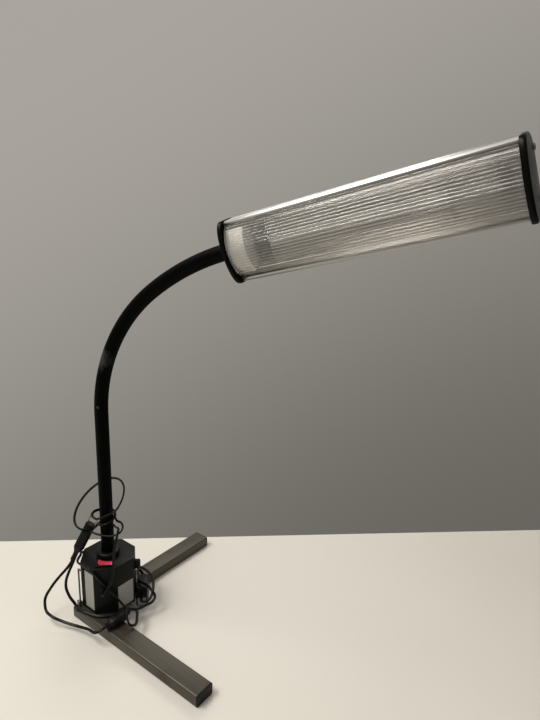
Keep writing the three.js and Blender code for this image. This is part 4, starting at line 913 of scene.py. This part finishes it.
def screws_at(name, screw, places_and_turns):
    """Copies of one screw on each place, in one mesh; the screw that was copied goes."""
    mesh = bmesh.new()
    turn_layer = mesh.verts.layers.float_vector.new("turn")
    for place, turn in places_and_turns:
        mesh.verts.new(place)[turn_layer] = turn
    screws = grown(name, screws_tree, mesh, {"Screw": screw, "Scale": 1.0, "Material": screw_steel})
    bpy.data.objects.remove(screw)
    return screws


floor_screw = cross_screw(
    "floor_screw", screw_head_radius, screw_head_height, screw_shank_radius, floor_screw_length,
)
post_reach = housing_half / math.cos(math.pi / 8) - housing_wall - post_inset
floor_places = []
for angle in (math.pi / 8, 9 * math.pi / 8):
    x, y = post_reach * math.cos(angle), post_reach * math.sin(angle)
    foot = base_centre + Vector((x, y, floor_level + screw_head_height))
    floor_places.append((foot, Vector((0, 0, angle))))
floor_screws = screws_at("floor_screws", floor_screw, floor_places)
dressed(floor_screws, "stand_and_base", "plain_steel", "floor_screw_1", "floor_screw_2")

# Rocker switch
# A snap-in switch at the housing's front left edge: a black frame and a clear red button that tips
# across its middle, dished on top and lying with one end pressed in.
housing_top = 0.10295
rocker_offset = 0.0295
rocker_half_length = 0.0121
rocker_half_width = 0.0044
rocker_rise = 0.0042
rocker_dip = 0.0016
rocker_foot = -0.003
rocker_foot_share = 0.8
rocker_round = 0.0009
rocker_end_share = 0.1
rocker_pivot = 0.0009
rocker_rest_tilt = math.radians(9)
switch_red = finish(
    "switch_red", (0.8, 0.06, 0.13), 0.16, grain=500, depth=0.03, patch=60, patchy=0.1,
    sockets={"Transmission Weight": 0.35, "IOR": 1.49, "Coat Weight": 0.6, "Coat Roughness": 0.05},
)

softened("rocker_case", "switch_frame", moulded_black, 0.00035, "black_plastic")
rocker_seat = (
    Matrix.Translation(base_centre + (housing_top + seat_gap) * upright)
    @ Matrix.Rotation(math.pi / 4, 4, "Z") @ Matrix.Translation((0, -rocker_offset, rocker_pivot))
    @ Matrix.Rotation(rocker_rest_tilt, 4, "Y")
)


def dished_button(name, steps=28, round_steps=4):
    """The rocker's button: a bar with rounded edges whose top dips towards the middle."""
    rings = []
    for i in range(steps + 1):
        share = 2 * i / steps - 1
        end = max(0, (abs(share) - (1 - rocker_end_share)) / rocker_end_share)
        inset = rocker_round * (1 - math.sqrt(max(0, 1 - end * end)))
        x = rocker_half_length * share
        top = rocker_dip + (rocker_rise - rocker_dip) * share * share - inset
        half = rocker_half_width - inset
        ring = []
        for side in (1, -1):
            for j in range(round_steps + 1):
                angle = math.pi / 2 * (j if side > 0 else round_steps - j) / round_steps
                y = side * (half - rocker_round * (1 - math.cos(angle)))
                ring.append((x, y, top - rocker_round * (1 - math.sin(angle))))
        ring += [(x * rocker_foot_share, y, rocker_foot) for y in (-half, half)]
        rings.append([rocker_seat @ Vector(point) for point in ring])
    mesh = skinned(bmesh.new(), rings)
    bmesh.ops.recalc_face_normals(mesh, faces=mesh.faces)
    return piece_of(name, mesh, switch_red, crease=50)


dressed(dished_button("dished_button"), "rocker", "rocker_red", "rocker_button")

# Fuse holder
# A panel fuse holder in the rear right chamfer: a thin collar, and a screwed cap with a knurled skirt
# and a slot for a coin. The glass fuse lies inside.
fuse_height = 0.08005
fuse_cap_radius = 0.0082
fuse_cap_height = 0.0074
fuse_cap_start = housing_half + 0.0022
fuse_knurls = 36
knurl_depth = 0.0003
knurl_foot = 0.0008
knurl_rim_share = 0.985
coin_slot_half_width = 0.0007
coin_slot_half_length = 0.0095
coin_slot_depth = 0.0015
fuse_foot = base_centre + fuse_height * upright + fuse_cap_start * along_chamfer
softened("fuse_holder", "fuse_socket", moulded_black, 0.0004, "black_plastic")
link_glass = finish("link_glass", (0.78, 0.82, 0.8), 0.08, grain=300, depth=0.02, patch=100, patchy=0.05)
softened("fuse_link", "glass_fuse", link_glass, 0.0003, "fuse_glass")


def knurled(angle, radius, height):
    """Fine upright grooves on the cap's skirt, none on its top."""
    if radius < fuse_cap_radius * knurl_rim_share or height < knurl_foot:
        return 0
    return -knurl_depth * (0.5 - 0.5 * math.cos(fuse_knurls * angle))


def quarter_round(reach, height, radius, steps, first=0):
    """Profile points of an edge rounded over a quarter circle, whose middle is at that reach and height."""
    angles = [math.pi / 2 * step / steps for step in range(first, steps + 1)]
    return [(reach + radius * math.cos(angle), height + radius * math.sin(angle)) for angle in angles]


fuse_profile = [
    (0.003, -0.003), (0.003, 0), (0.0079, 0), (0.0081, 0.0006), (0.0081, 0.0012), (fuse_cap_radius, 0.0016),
    (fuse_cap_radius, 0.0045), *quarter_round(0.0057, 0.0051, 0.0023, steps=6),
]
fuse_top = turned(
    "fuse_top", fuse_profile, fuse_foot, along_chamfer, moulded_black, sides=4 * fuse_knurls, wave=knurled,
)
slot_place = Matrix.Translation(fuse_foot) @ along_chamfer.to_track_quat("Z", "Y").to_matrix().to_4x4()
slot_stations = [
    (height, coin_slot_half_width, coin_slot_half_length)
    for height in (fuse_cap_height - coin_slot_depth, fuse_cap_height + cutter_rise)
]
carved(fuse_top, lofted("coin_slot", slot_stations, slot_place, moulded_black, square=14, sides=24))
dressed(fuse_top, "fuse_cap_body", "black_plastic", "fuse_cap")

# Collar
# The black gland that the neck stands in, screwed through the housing's top and held by a nut inside.
collar_profile = [
    (0.0111, -0.0096), (0.014, -0.0096), (0.014, 0.0003), (0.0182, 0.0003), (0.0185, 0.0006),
    (0.0185, 0.0056), *quarter_round(0.0152, 0.0056, 0.0033, steps=7, first=1),
    (0.0121, 0.0089), (0.0112, 0.0082),
]
neck_foot = base_centre + housing_top * upright
neck_gland = turned("neck_gland", collar_profile, neck_foot, upright, moulded_black, sides=72)
dressed(neck_gland, "stand_and_base", "black_plastic", "neck_collar")
softened("collar_nut", "gland_nut", ground_steel, 0.0006, "plain_steel")

# Gooseneck
# A bendable steel hose inside a smooth black rubber sleeve. It rises straight from the collar and then
# bends over in two curves to the head. Each length of sleeve has one of the neck's joints in its middle.
neck_radius = 0.0106
neck_tail = 0.014
neck_straight = 0.249
first_bend = math.radians(53.5)
first_bend_length = 0.23
second_bend = math.radians(22.2)
second_bend_length = 0.152
neck_length = neck_straight + first_bend_length + second_bend_length
neck_joints = [share * neck_length for share in (0.237, 0.383, 0.53, 0.676, 0.822, 0.968)]
start_heading = math.radians(18.3)
end_heading = math.radians(3.7)
sleeve_step = 0.0025
sleeve_sides = 48
bend_reach = 0.03
# Grey of the painted highlights on the black neck.
painted_highlight_grey = (0.04, 0.044, 0.042)
neck_black = finish(
    "neck_black", (0.0007, 0.0012, 0.0009), 0.42, grain=900, depth=0.12, patch=22, patchy=0.25,
    sockets={"Specular IOR Level": 0.03},
)


def neck_direction(distance):
    """Which way the neck points, at a distance along it from the housing's top."""
    bent = min(max(distance, 0), neck_length) - neck_straight
    bent = max(bent, 0)
    first = min(bent / first_bend_length, 1)
    second = max(bent - first_bend_length, 0) / second_bend_length
    lean = first_bend * first + second_bend * second
    heading = start_heading + (end_heading - start_heading) * bent / (first_bend_length + second_bend_length)
    return Vector((math.sin(lean) * math.cos(heading), math.sin(lean) * math.sin(heading), math.cos(lean)))


def neck_point(distance, steps=240):
    """A place on the neck's centre line, summed up along its direction."""
    point = neck_foot.copy()
    for i in range(steps):
        point += neck_direction((i + 0.5) / steps * distance) * distance / steps
    return point


sleeve_tree, given = node_tree("sleeve_on_neck", {"Radius": "Float", "Sides": "Int", "Material": "Material"})
centre_line = node_in(sleeve_tree, "GeometryNodeMeshToCurve", {"Mesh": given["Geometry"]})
round_section = node_in(sleeve_tree, "GeometryNodeCurvePrimitiveCircle", {
    "Resolution": given["Sides"], "Radius": given["Radius"],
})
sleeve_skin = node_in(sleeve_tree, "GeometryNodeCurveToMesh", {
    "Curve": centre_line.outputs["Curve"], "Profile Curve": round_section.outputs["Curve"], "Fill Caps": True,
})
tree_ends(sleeve_tree, sleeve_skin.outputs["Mesh"], given["Material"])


def neck_sleeve(name, start, end):
    """One length of the rubber sleeve, grown along the neck's centre line."""
    steps = max(2, round((end - start) / sleeve_step))
    mesh = bmesh.new()
    line = [mesh.verts.new(neck_point(start + (end - start) * i / steps)) for i in range(steps + 1)]
    for first, second in zip(line, line[1:]):
        mesh.edges.new((first, second))
    values = {"Radius": neck_radius, "Sides": sleeve_sides, "Material": neck_black}
    return grown(name, sleeve_tree, mesh, values, crease=60)


# Painted highlights: a lighter patch down the neck's left edge in the first bend, and a small glint lower
# down, where the bend begins.
marked(neck_black, neck_point(0.345) + Vector((-0.009, -0.006, 0)), 0.022, painted_highlight_grey, 0.8, ragged=0.8)
marked(neck_black, neck_point(0.262) + Vector((0.004, -0.0095, 0)), 0.003, painted_highlight_grey, 0.9)
neck_links = [f"neck_link_{number}" for number in range(1, 6)]
neck_nodes = ["neck_root", *neck_links]
cuts = [-neck_tail, *((a + b) / 2 for a, b in zip(neck_joints, neck_joints[1:])), neck_length]
for number, joint in enumerate(neck_joints):
    sleeve = neck_sleeve(f"neck_sleeve_{number + 1}", cuts[number], cuts[number + 1])
    reach = min(bend_reach, neck_length - joint)
    start, end = (tuple(neck_point(joint + way * reach)) for way in (-1, 1))
    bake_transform(sleeve)
    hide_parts(neck_nodes[number])

# Neck's threaded end
# A short black tube with a fine thread, which the neck carries through the head's near cap.
head_turn = Euler((math.radians(14.5), first_bend + second_bend - math.pi / 2, end_heading), "XYZ")
head_place = Matrix.Translation(neck_point(neck_length)) @ head_turn.to_matrix().to_4x4()
head_along = (head_place.to_3x3() @ Vector((1, 0, 0))).normalized()
thread_radius = 0.0064
thread_depth = 0.0004
thread_pitch = 0.0012
thread_start = -0.001
thread_end = 0.0168
thread_steps = 80


def threaded(angle, radius, height):
    """A screw thread's run round a turned form."""
    rise = (height / thread_pitch - angle / (2 * math.pi)) % 1
    return -thread_depth * abs(2 * rise - 1)


thread_profile = [
    (thread_radius, thread_start + (thread_end - thread_start) * i / thread_steps)
    for i in range(thread_steps + 1)
]
neck_thread = turned(
    "neck_thread", thread_profile, head_place.translation, head_along, ground_steel, sides=40, crease=50,
    wave=threaded,
)
dressed(neck_thread, "lamp_head", "neck_rubber", "neck_tip")
softened("tail_nut", "lock_nut", ground_steel, 0.0005, "plain_steel")

# Head channel
# The lamp head's body: one drawn aluminium channel with satin sides, thin lips that hold the lens, and
# round screw ports along its back corners.
satin_aluminium = finish(
    "satin_aluminium", (0.45, 0.45, 0.44), 0.34, metallic=1, grain=1400, depth=0.15, patch=260, patchy=0.07,
    stretch=(40, 1, 1), turn=tuple(head_turn),
)
softened("head_channel", "drawn_channel", satin_aluminium, 0.0004, "aluminium", crease=25)

# Lens
# One drawn strip of clear plastic, bowed outwards, with small ribs along its outside and a flange down
# each side that lies behind the channel's lips. Light breaks in its ribs. Painted shade darkens their
# grooves, only a little over the white lampholder so that it shows bright.
lens_start = 0.0106
lens_length = 0.323
lip_face = -0.018
lip_thickness = 0.0016
lens_seat = lip_face + lip_thickness + seat_gap
lens_half_opening = 0.0325
lens_flange = 0.003
lens_flange_share = 0.04
lens_rise = 0.013
lens_thickness = 0.0015
lens_ribs = 18
lens_ribbed_share = 0.88
rib_relief = 0.0009
lens_radius = (lens_half_opening ** 2 + lens_rise ** 2) / (2 * lens_rise)
lens_half_angle = math.asin(lens_half_opening / lens_radius)
lens_steps = 720
# Painted shade in the grooves between the ribs, mostly held back over the white lampholder.
groove_painted_shade = (0.42, 0.4, 0.37)
groove_low = 0.15
groove_high = 0.75
shade_free_until = 0.03
full_shade_from = 0.042
holder_shade_share = 0.05

lens_tree, given = node_tree("ribbed_strip", {
    "Start": "Float", "Length": "Float", "Seat": "Float", "Arc radius": "Float", "Half angle": "Float",
    "Rise": "Float", "Thickness": "Float", "Flange": "Float", "Flange share": "Float", "Ribs": "Float",
    "Ribbed share": "Float", "Rib relief": "Float", "Steps": "Int", "Material": "Material",
})


def sum_of(operation, *values):
    """What a maths node in the lens's tree works out."""
    return worked_out(lens_tree, operation, *values)


half_way_round = 0.4999
section = node_in(lens_tree, "GeometryNodeCurvePrimitiveCircle", {
    "Resolution": given["Steps"], "Radius": 1.0,
})
round_share = lens_tree.nodes.new("GeometryNodeSplineParameter").outputs["Factor"]
inside = sum_of("GREATER_THAN", round_share, half_way_round)
outside = sum_of("SUBTRACT", 1.0, inside)
down = sum_of("SUBTRACT", 1.0, sum_of("ABSOLUTE", sum_of("MULTIPLY_ADD", round_share, -2.0, 1.0)))
flange_share = given["Flange share"]
arc_part = sum_of("MULTIPLY_ADD", flange_share, -2.0, 1.0)
along_arc = sum_of("DIVIDE", sum_of("SUBTRACT", down, flange_share), arc_part)
along_arc = sum_of("MINIMUM", sum_of("MAXIMUM", along_arc, 0.0), 1.0)
above = sum_of("MAXIMUM", sum_of("SUBTRACT", flange_share, down), 0.0)
below = sum_of("MAXIMUM", sum_of("SUBTRACT", down, sum_of("SUBTRACT", 1.0, flange_share)), 0.0)
flange_rise = sum_of("DIVIDE", given["Flange"], flange_share)
beyond_arc = sum_of("MULTIPLY", sum_of("SUBTRACT", above, below), flange_rise)
angle = sum_of("MULTIPLY", given["Half angle"], sum_of("MULTIPLY_ADD", along_arc, -2.0, 1.0))
rib_turns = sum_of("DIVIDE", sum_of("MULTIPLY", along_arc, given["Ribs"]), given["Ribbed share"])
rib = sum_of("ABSOLUTE", sum_of("SINE", sum_of("MULTIPLY", rib_turns, math.pi)))
rib = sum_of("MULTIPLY", rib, sum_of("LESS_THAN", along_arc, given["Ribbed share"]))
lift = sum_of("MULTIPLY", outside, sum_of("MULTIPLY", rib, given["Rib relief"]))
lift = sum_of("SUBTRACT", lift, sum_of("MULTIPLY", inside, given["Thickness"]))
reach = sum_of("ADD", given["Arc radius"], lift)
bulge = sum_of("MULTIPLY", reach, sum_of("COSINE", angle))
depth = sum_of("SUBTRACT", given["Arc radius"], sum_of("ADD", given["Rise"], bulge))
depth = sum_of("ADD", depth, given["Seat"])
height = sum_of("ADD", sum_of("MULTIPLY", reach, sum_of("SINE", angle)), beyond_arc)
section_place = node_in(lens_tree, "ShaderNodeCombineXYZ", {"X": depth, "Y": height, "Z": 0.0})
section = node_in(lens_tree, "GeometryNodeSetPosition", {
    "Geometry": section.outputs["Curve"], "Position": section_place.outputs["Vector"],
})
face = node_in(lens_tree, "GeometryNodeFillCurve", {"Curve": section.outputs["Geometry"]})
face.mode = "NGONS"
run = node_in(lens_tree, "ShaderNodeCombineXYZ", {"X": 0.0, "Y": 0.0, "Z": given["Length"]})
drawn = node_in(lens_tree, "GeometryNodeExtrudeMesh", {
    "Mesh": face.outputs["Mesh"], "Offset": run.outputs["Vector"], "Offset Scale": 1.0, "Individual": False,
})
near_face = node_in(lens_tree, "GeometryNodeFlipFaces", {"Mesh": face.outputs["Mesh"]})
strip = lens_tree.nodes.new("GeometryNodeJoinGeometry")
lens_tree.links.new(drawn.outputs["Mesh"], strip.inputs["Geometry"])
lens_tree.links.new(near_face.outputs["Mesh"], strip.inputs["Geometry"])
strip = node_in(lens_tree, "GeometryNodeMergeByDistance", {
    "Geometry": strip.outputs["Geometry"], "Distance": 1e-6,
})
drawn_place = lens_tree.nodes.new("GeometryNodeInputPosition").outputs["Position"]
parts = node_in(lens_tree, "ShaderNodeSeparateXYZ", {"Vector": drawn_place}).outputs
arc_centre = sum_of("SUBTRACT", sum_of("ADD", given["Seat"], given["Arc radius"]), given["Rise"])
from_centre = sum_of("SUBTRACT", parts["X"], arc_centre)
reach_squared = sum_of("MULTIPLY_ADD", parts["Y"], parts["Y"], sum_of("POWER", from_centre, 2.0))
lift_here = sum_of("SUBTRACT", sum_of("SQRT", reach_squared), given["Arc radius"])
crest = sum_of("DIVIDE", sum_of("MAXIMUM", lift_here, 0.0), given["Rib relief"])
inner_face = sum_of("LESS_THAN", lift_here, sum_of("MULTIPLY", given["Thickness"], -0.5))
last_share = sum_of("MULTIPLY_ADD", given["Ribbed share"], -2.0, 1.0)
last_angle = sum_of("MULTIPLY", given["Half angle"], last_share)
last_rib = sum_of("MULTIPLY", given["Arc radius"], sum_of("SINE", last_angle))
smooth_part = sum_of("LESS_THAN", parts["Y"], last_rib)
crest = sum_of("MAXIMUM", sum_of("MAXIMUM", crest, inner_face), smooth_part)
strip = node_in(lens_tree, "GeometryNodeStoreNamedAttribute", {
    "Geometry": strip.outputs["Geometry"], "Name": "crest", "Value": crest,
})
along = sum_of("ADD", parts["Z"], given["Start"])
along_head = node_in(lens_tree, "ShaderNodeCombineXYZ", {"X": along, "Y": parts["X"], "Z": parts["Y"]})
strip = node_in(lens_tree, "GeometryNodeSetPosition", {
    "Geometry": strip.outputs["Geometry"], "Position": along_head.outputs["Vector"],
})
tree_ends(lens_tree, strip.outputs["Geometry"], given["Material"])

clear_plastic = finish(
    "clear_plastic", (0.95, 0.94, 0.915), 0.04, grain=800, depth=0.0, patch=25, patchy=0.03,
    sockets={"Transmission Weight": 0.92, "IOR": 1.49},
)
plastic_tree = clear_plastic.node_tree
crest_of_rib = plastic_tree.nodes.new("ShaderNodeAttribute")
crest_of_rib.attribute_name = "crest"
# Painted shade: the grooves between ribs are darkened, and only a little over the lampholder.
groove = ranged(plastic_tree, crest_of_rib.outputs["Fac"], groove_low, groove_high, 1.0, 0.0)
lens_place = plastic_tree.nodes.new("ShaderNodeTexCoord").outputs["Object"]
shade_here = ranged(
    plastic_tree, measured(plastic_tree, "DOT_PRODUCT", lens_place, head_along),
    head_along.dot(head_place @ Vector((shade_free_until, 0, 0))),
    head_along.dot(head_place @ Vector((full_shade_from, 0, 0))), holder_shade_share, 1.0,
)
groove_shade_share = worked_out(plastic_tree, "MULTIPLY", groove.outputs["Result"], shade_here.outputs["Result"])
tinted(clear_plastic, groove_shade_share, groove_painted_shade)
lens_strip = grown("lens_strip", lens_tree, bmesh.new(), {
    "Start": lens_start, "Length": lens_length, "Seat": lens_seat, "Arc radius": lens_radius,
    "Half angle": lens_half_angle, "Rise": lens_rise, "Thickness": lens_thickness, "Flange": lens_flange,
    "Flange share": lens_flange_share, "Ribs": float(lens_ribs), "Ribbed share": lens_ribbed_share,
    "Rib relief": rib_relief, "Steps": lens_steps, "Material": clear_plastic,
}, crease=45)
lens_strip.data.transform(head_place)
dressed(lens_strip, "lamp_head", "clear_lens", "lens")

# End caps
# A black moulded cap closes each end of the head. Its rim stands out all round the channel and its
# nose follows the lens's bulge, with rounded outer edges. The near one has a round boss for the neck.
cap_thickness = 0.006
cap_rim = 0.0012
cap_edge = 0.002
cap_inner_edge = 0.0004
cap_corner = 0.009
cap_back_corner_share = 0.8
channel_half_height = 0.0375
channel_back_half_height = 0.027
channel_depth = 0.036
channel_shoulder_depth = 0.022
near_cap_face = 0.0043
far_cap_face = 0.3402
boss_radius = 0.015
boss_height = 0.004
boss_edge = 0.0008
boss_sink = 0.001
edge_steps = 6
nose_steps = 40


def eased(before, corner, after, reach, steps=6):
    """Points that take a corner of an outline round in a smooth curve."""
    start = corner + (before - corner).normalized() * reach
    end = corner + (after - corner).normalized() * reach
    shares = [i / steps for i in range(steps + 1)]
    return [(1 - t) ** 2 * start + 2 * t * (1 - t) * corner + t * t * end for t in shares]


def cap_outline(grow):
    """The cap's outline in the head's YZ plane: straight sides, a flat back, and the nose in front."""
    half = channel_half_height + grow
    back = lip_face + channel_depth + grow
    shoulder = lip_face + channel_shoulder_depth + grow
    back_half = channel_back_half_height + grow
    corners = [Vector(pair) for pair in (
        (lip_face, half), (shoulder, half), (back, back_half), (back, -back_half), (shoulder, -half),
        (lip_face, -half),
    )]
    points = [corners[0]]
    for i, share in ((1, 1), (2, cap_back_corner_share), (3, cap_back_corner_share), (4, 1)):
        points += eased(corners[i - 1], corners[i], corners[i + 1], cap_corner * share)
    nose = lens_rise + rib_relief + grow
    for i in range(nose_steps):
        angle = math.pi * i / nose_steps - math.pi / 2
        points.append(Vector((lip_face - nose * math.cos(angle), half * math.sin(angle))))
    return points


def end_cap(name, node, face, inward, boss=None):
    """One cap, from its rounded outer face to where it meets the channel."""
    mesh = bmesh.new()
    if boss:
        mesh.from_mesh(boss.data)
        bpy.data.objects.remove(boss)
    levels = []
    for i in range(edge_steps + 1):
        angle = math.pi / 2 * i / edge_steps
        levels.append((cap_edge * (1 - math.cos(angle)), cap_edge * (1 - math.sin(angle))))
    levels += [(cap_thickness - cap_inner_edge, 0), (cap_thickness, cap_inner_edge)]
    skinned(mesh, [
        [head_place @ Vector((face + inward * depth, y, z)) for y, z in cap_outline(cap_rim - inset)]
        for depth, inset in levels
    ])
    bmesh.ops.recalc_face_normals(mesh, faces=mesh.faces)
    dressed(piece_of(name, mesh, cap_black, crease=45), "lamp_head", "black_plastic", node)


cap_black = finish(
    "cap_black", (0.0018, 0.002, 0.002), 0.3, grain=1200, depth=0.12, patch=40, patchy=0.25,
    sockets={"Specular IOR Level": 0.07},
)
boss_top = boss_height + boss_sink
boss_profile = [(boss_radius - boss_edge, 0), (boss_radius, boss_edge), (boss_radius, boss_top)]
boss_foot = head_place @ Vector((near_cap_face - boss_height, 0, 0))
neck_boss = turned("neck_boss", boss_profile, boss_foot, head_along, cap_black)
end_cap("near_end_cap", "near_cap", near_cap_face, 1, boss=neck_boss)
end_cap("far_end_cap", "far_cap", far_cap_face, -1)

# End cap screws
# Two screws hold each cap to the channel's screw ports, their heads on the cap's outer face.
port_depth = 0.014
port_half_spacing = 0.023
cap_screw_head_radius = 0.0034
cap_screw_head_height = 0.0014
cap_screw_shank_radius = 0.0014
cap_screw_length = 0.014
slot_turn_by_side = 0.7
slot_turn_by_end = 0.4
cap_screw = cross_screw(
    "cap_screw", cap_screw_head_radius, cap_screw_head_height, cap_screw_shank_radius, cap_screw_length,
)
cap_places = []
for face, way in ((near_cap_face, 1), (far_cap_face, -1)):
    for side in (1, -1):
        place = head_place @ Vector((face - way * seat_gap, port_depth, side * port_half_spacing))
        slot_turn = Euler((0, 0, slot_turn_by_side * side + slot_turn_by_end * way)).to_quaternion()
        facing = (way * head_along).to_track_quat("Z", "Y") @ slot_turn
        cap_places.append((place, Vector(facing.to_euler("XYZ"))))
cap_screws = screws_at("cap_screws", cap_screw, cap_places)
dressed(
    cap_screws, "lamp_head", "plain_steel",
    "near_upper_screw", "near_lower_screw", "far_upper_screw", "far_lower_screw",
)

# Lamp
# Behind the lens lie a white lampholder at the neck's end, a compact lamp of two glass tubes bridged
# at the far end, a spring clip round the tubes and a bright folded reflector, with a painted shadow
# near its far end where the far cap shades it.
far_cap_shadow_place = (0.318, 0.005, 0.008)
painted_shadow_brown = (0.03, 0.024, 0.02)
holder_length = 0.025
foot_length = 0.02
tube_start = lens_start + holder_length + seat_gap + foot_length + seat_gap
tube_length = 0.208
tube_radius = 0.0061
tube_end_flatness = 0.7
tube_end_steps = 8
tube_tip_radius = 0.0002
tube_half_spacing = 0.0095
bridge_radius = 0.004
bridge_inset = 0.014
holder_white = finish("holder_white", (0.95, 0.94, 0.89), 0.35, grain=900, depth=0.1, patch=50, patchy=0.06)
softened("lamp_holder", "lamp_socket", holder_white, 0.0012, "holder_white")
softened("lamp_base", "lamp_foot", moulded_black, 0.0012, "black_plastic")
lamp_coating = finish("lamp_coating", (0.88, 0.88, 0.86), 0.22, grain=400, depth=0.02, patch=40, patchy=0.03)
end_depth = tube_end_flatness * tube_radius
tube_profile = [(tube_radius, 0), (tube_radius, tube_length - end_depth)]
for step in range(1, tube_end_steps + 1):
    angle = math.pi / 2 * step / tube_end_steps
    tube_profile.append((
        max(tube_tip_radius, tube_radius * math.cos(angle)),
        tube_length - end_depth * (1 - math.sin(angle)),
    ))
head_across = (head_place.to_3x3() @ Vector((0, 0, 1))).normalized()
bridge_profile = [(bridge_radius, 0), (bridge_radius, 2 * tube_half_spacing)]
glass = bmesh.new()
for name, profile, along, side, axis in (
    ("tube", tube_profile, tube_start, 1, head_along),
    ("tube", tube_profile, tube_start, -1, head_along),
    ("bridge", bridge_profile, tube_start + tube_length - bridge_inset, -1, head_across),
):
    foot = head_place @ Vector((along, 0, side * tube_half_spacing))
    form = turned(name, profile, foot, axis, lamp_coating)
    glass.from_mesh(form.data)
    bpy.data.objects.remove(form)
dressed(piece_of("twin_tubes", glass, lamp_coating), "lamp_head", "lamp_white", "lamp_tubes")
softened("lamp_clip", "spring_clip", ground_steel, 0.0002, "plain_steel")
bright_sheet = finish(
    "bright_sheet", (0.52, 0.5, 0.48), 0.32, metallic=0.9, grain=900, depth=0.1, patch=60, patchy=0.06,
    stretch=(10, 1, 1), turn=tuple(head_turn),
)
# Painted shadow: the far cap's shade darkens the reflector near its far end.
marked(bright_sheet, head_place @ Vector(far_cap_shadow_place), 0.02, painted_shadow_brown, 0.9)
softened("reflector", "folded_reflector", bright_sheet, 0.0002, "aluminium")

# Light
# The plain grey of the room, darker low down on the right, and broad soft lights over the table.
room_light = (0.4, 0.375, 0.345)
room_shade = (0.13, 0.124, 0.108)
shade_direction = (0.35, 0.35, -0.85)
shade_from = -0.35
shade_full = 0.78
lamp_white = (1.0, 0.965, 0.9)
scene.view_settings.view_transform = "Standard"
world = bpy.data.worlds.new("room")
scene.world = world
world.use_nodes = True
room = world.node_tree
outlook = room.nodes.new("ShaderNodeTexCoord").outputs["Generated"]
falling = measured(room, "DOT_PRODUCT", outlook, shade_direction)
room_ramp = ranged(room, falling, shade_from, shade_full, 0.0, 1.0)
room_ramp.interpolation_type = "SMOOTHSTEP"
room_colour = mixed(room, room_ramp.outputs["Result"], room_light, room_shade)
room.links.new(room_colour, room.nodes["Background"].inputs["Color"])
for name, place, aim, size, power in (
    ("ceiling_light", Vector((0.6, 0.1, 2.3)), Vector((0.1, 0.1, 0)), (1.3, 0.5), 3),
    ("front_light", Vector((-0.5, -0.85, 1.9)), Vector((0.3, 0.05, 0.6)), (1.3, 0.7), 40),
    ("rear_light", Vector((-0.9, 1.6, 1.7)), Vector((0.4, 0.1, 0.6)), (1.4, 0.4), 10),
):
    light = bpy.data.lights.new(name, "AREA")
    light.shape = "RECTANGLE"
    light.size, light.size_y = size
    light.energy = power
    light.color = lamp_white
    lamp = bpy.data.objects.new(name, light)
    facing = (aim - place).to_track_quat("-Z", "Y")
    lamp.matrix_world = Matrix.Translation(place) @ facing.to_matrix().to_4x4()
    scene.collection.objects.link(lamp)
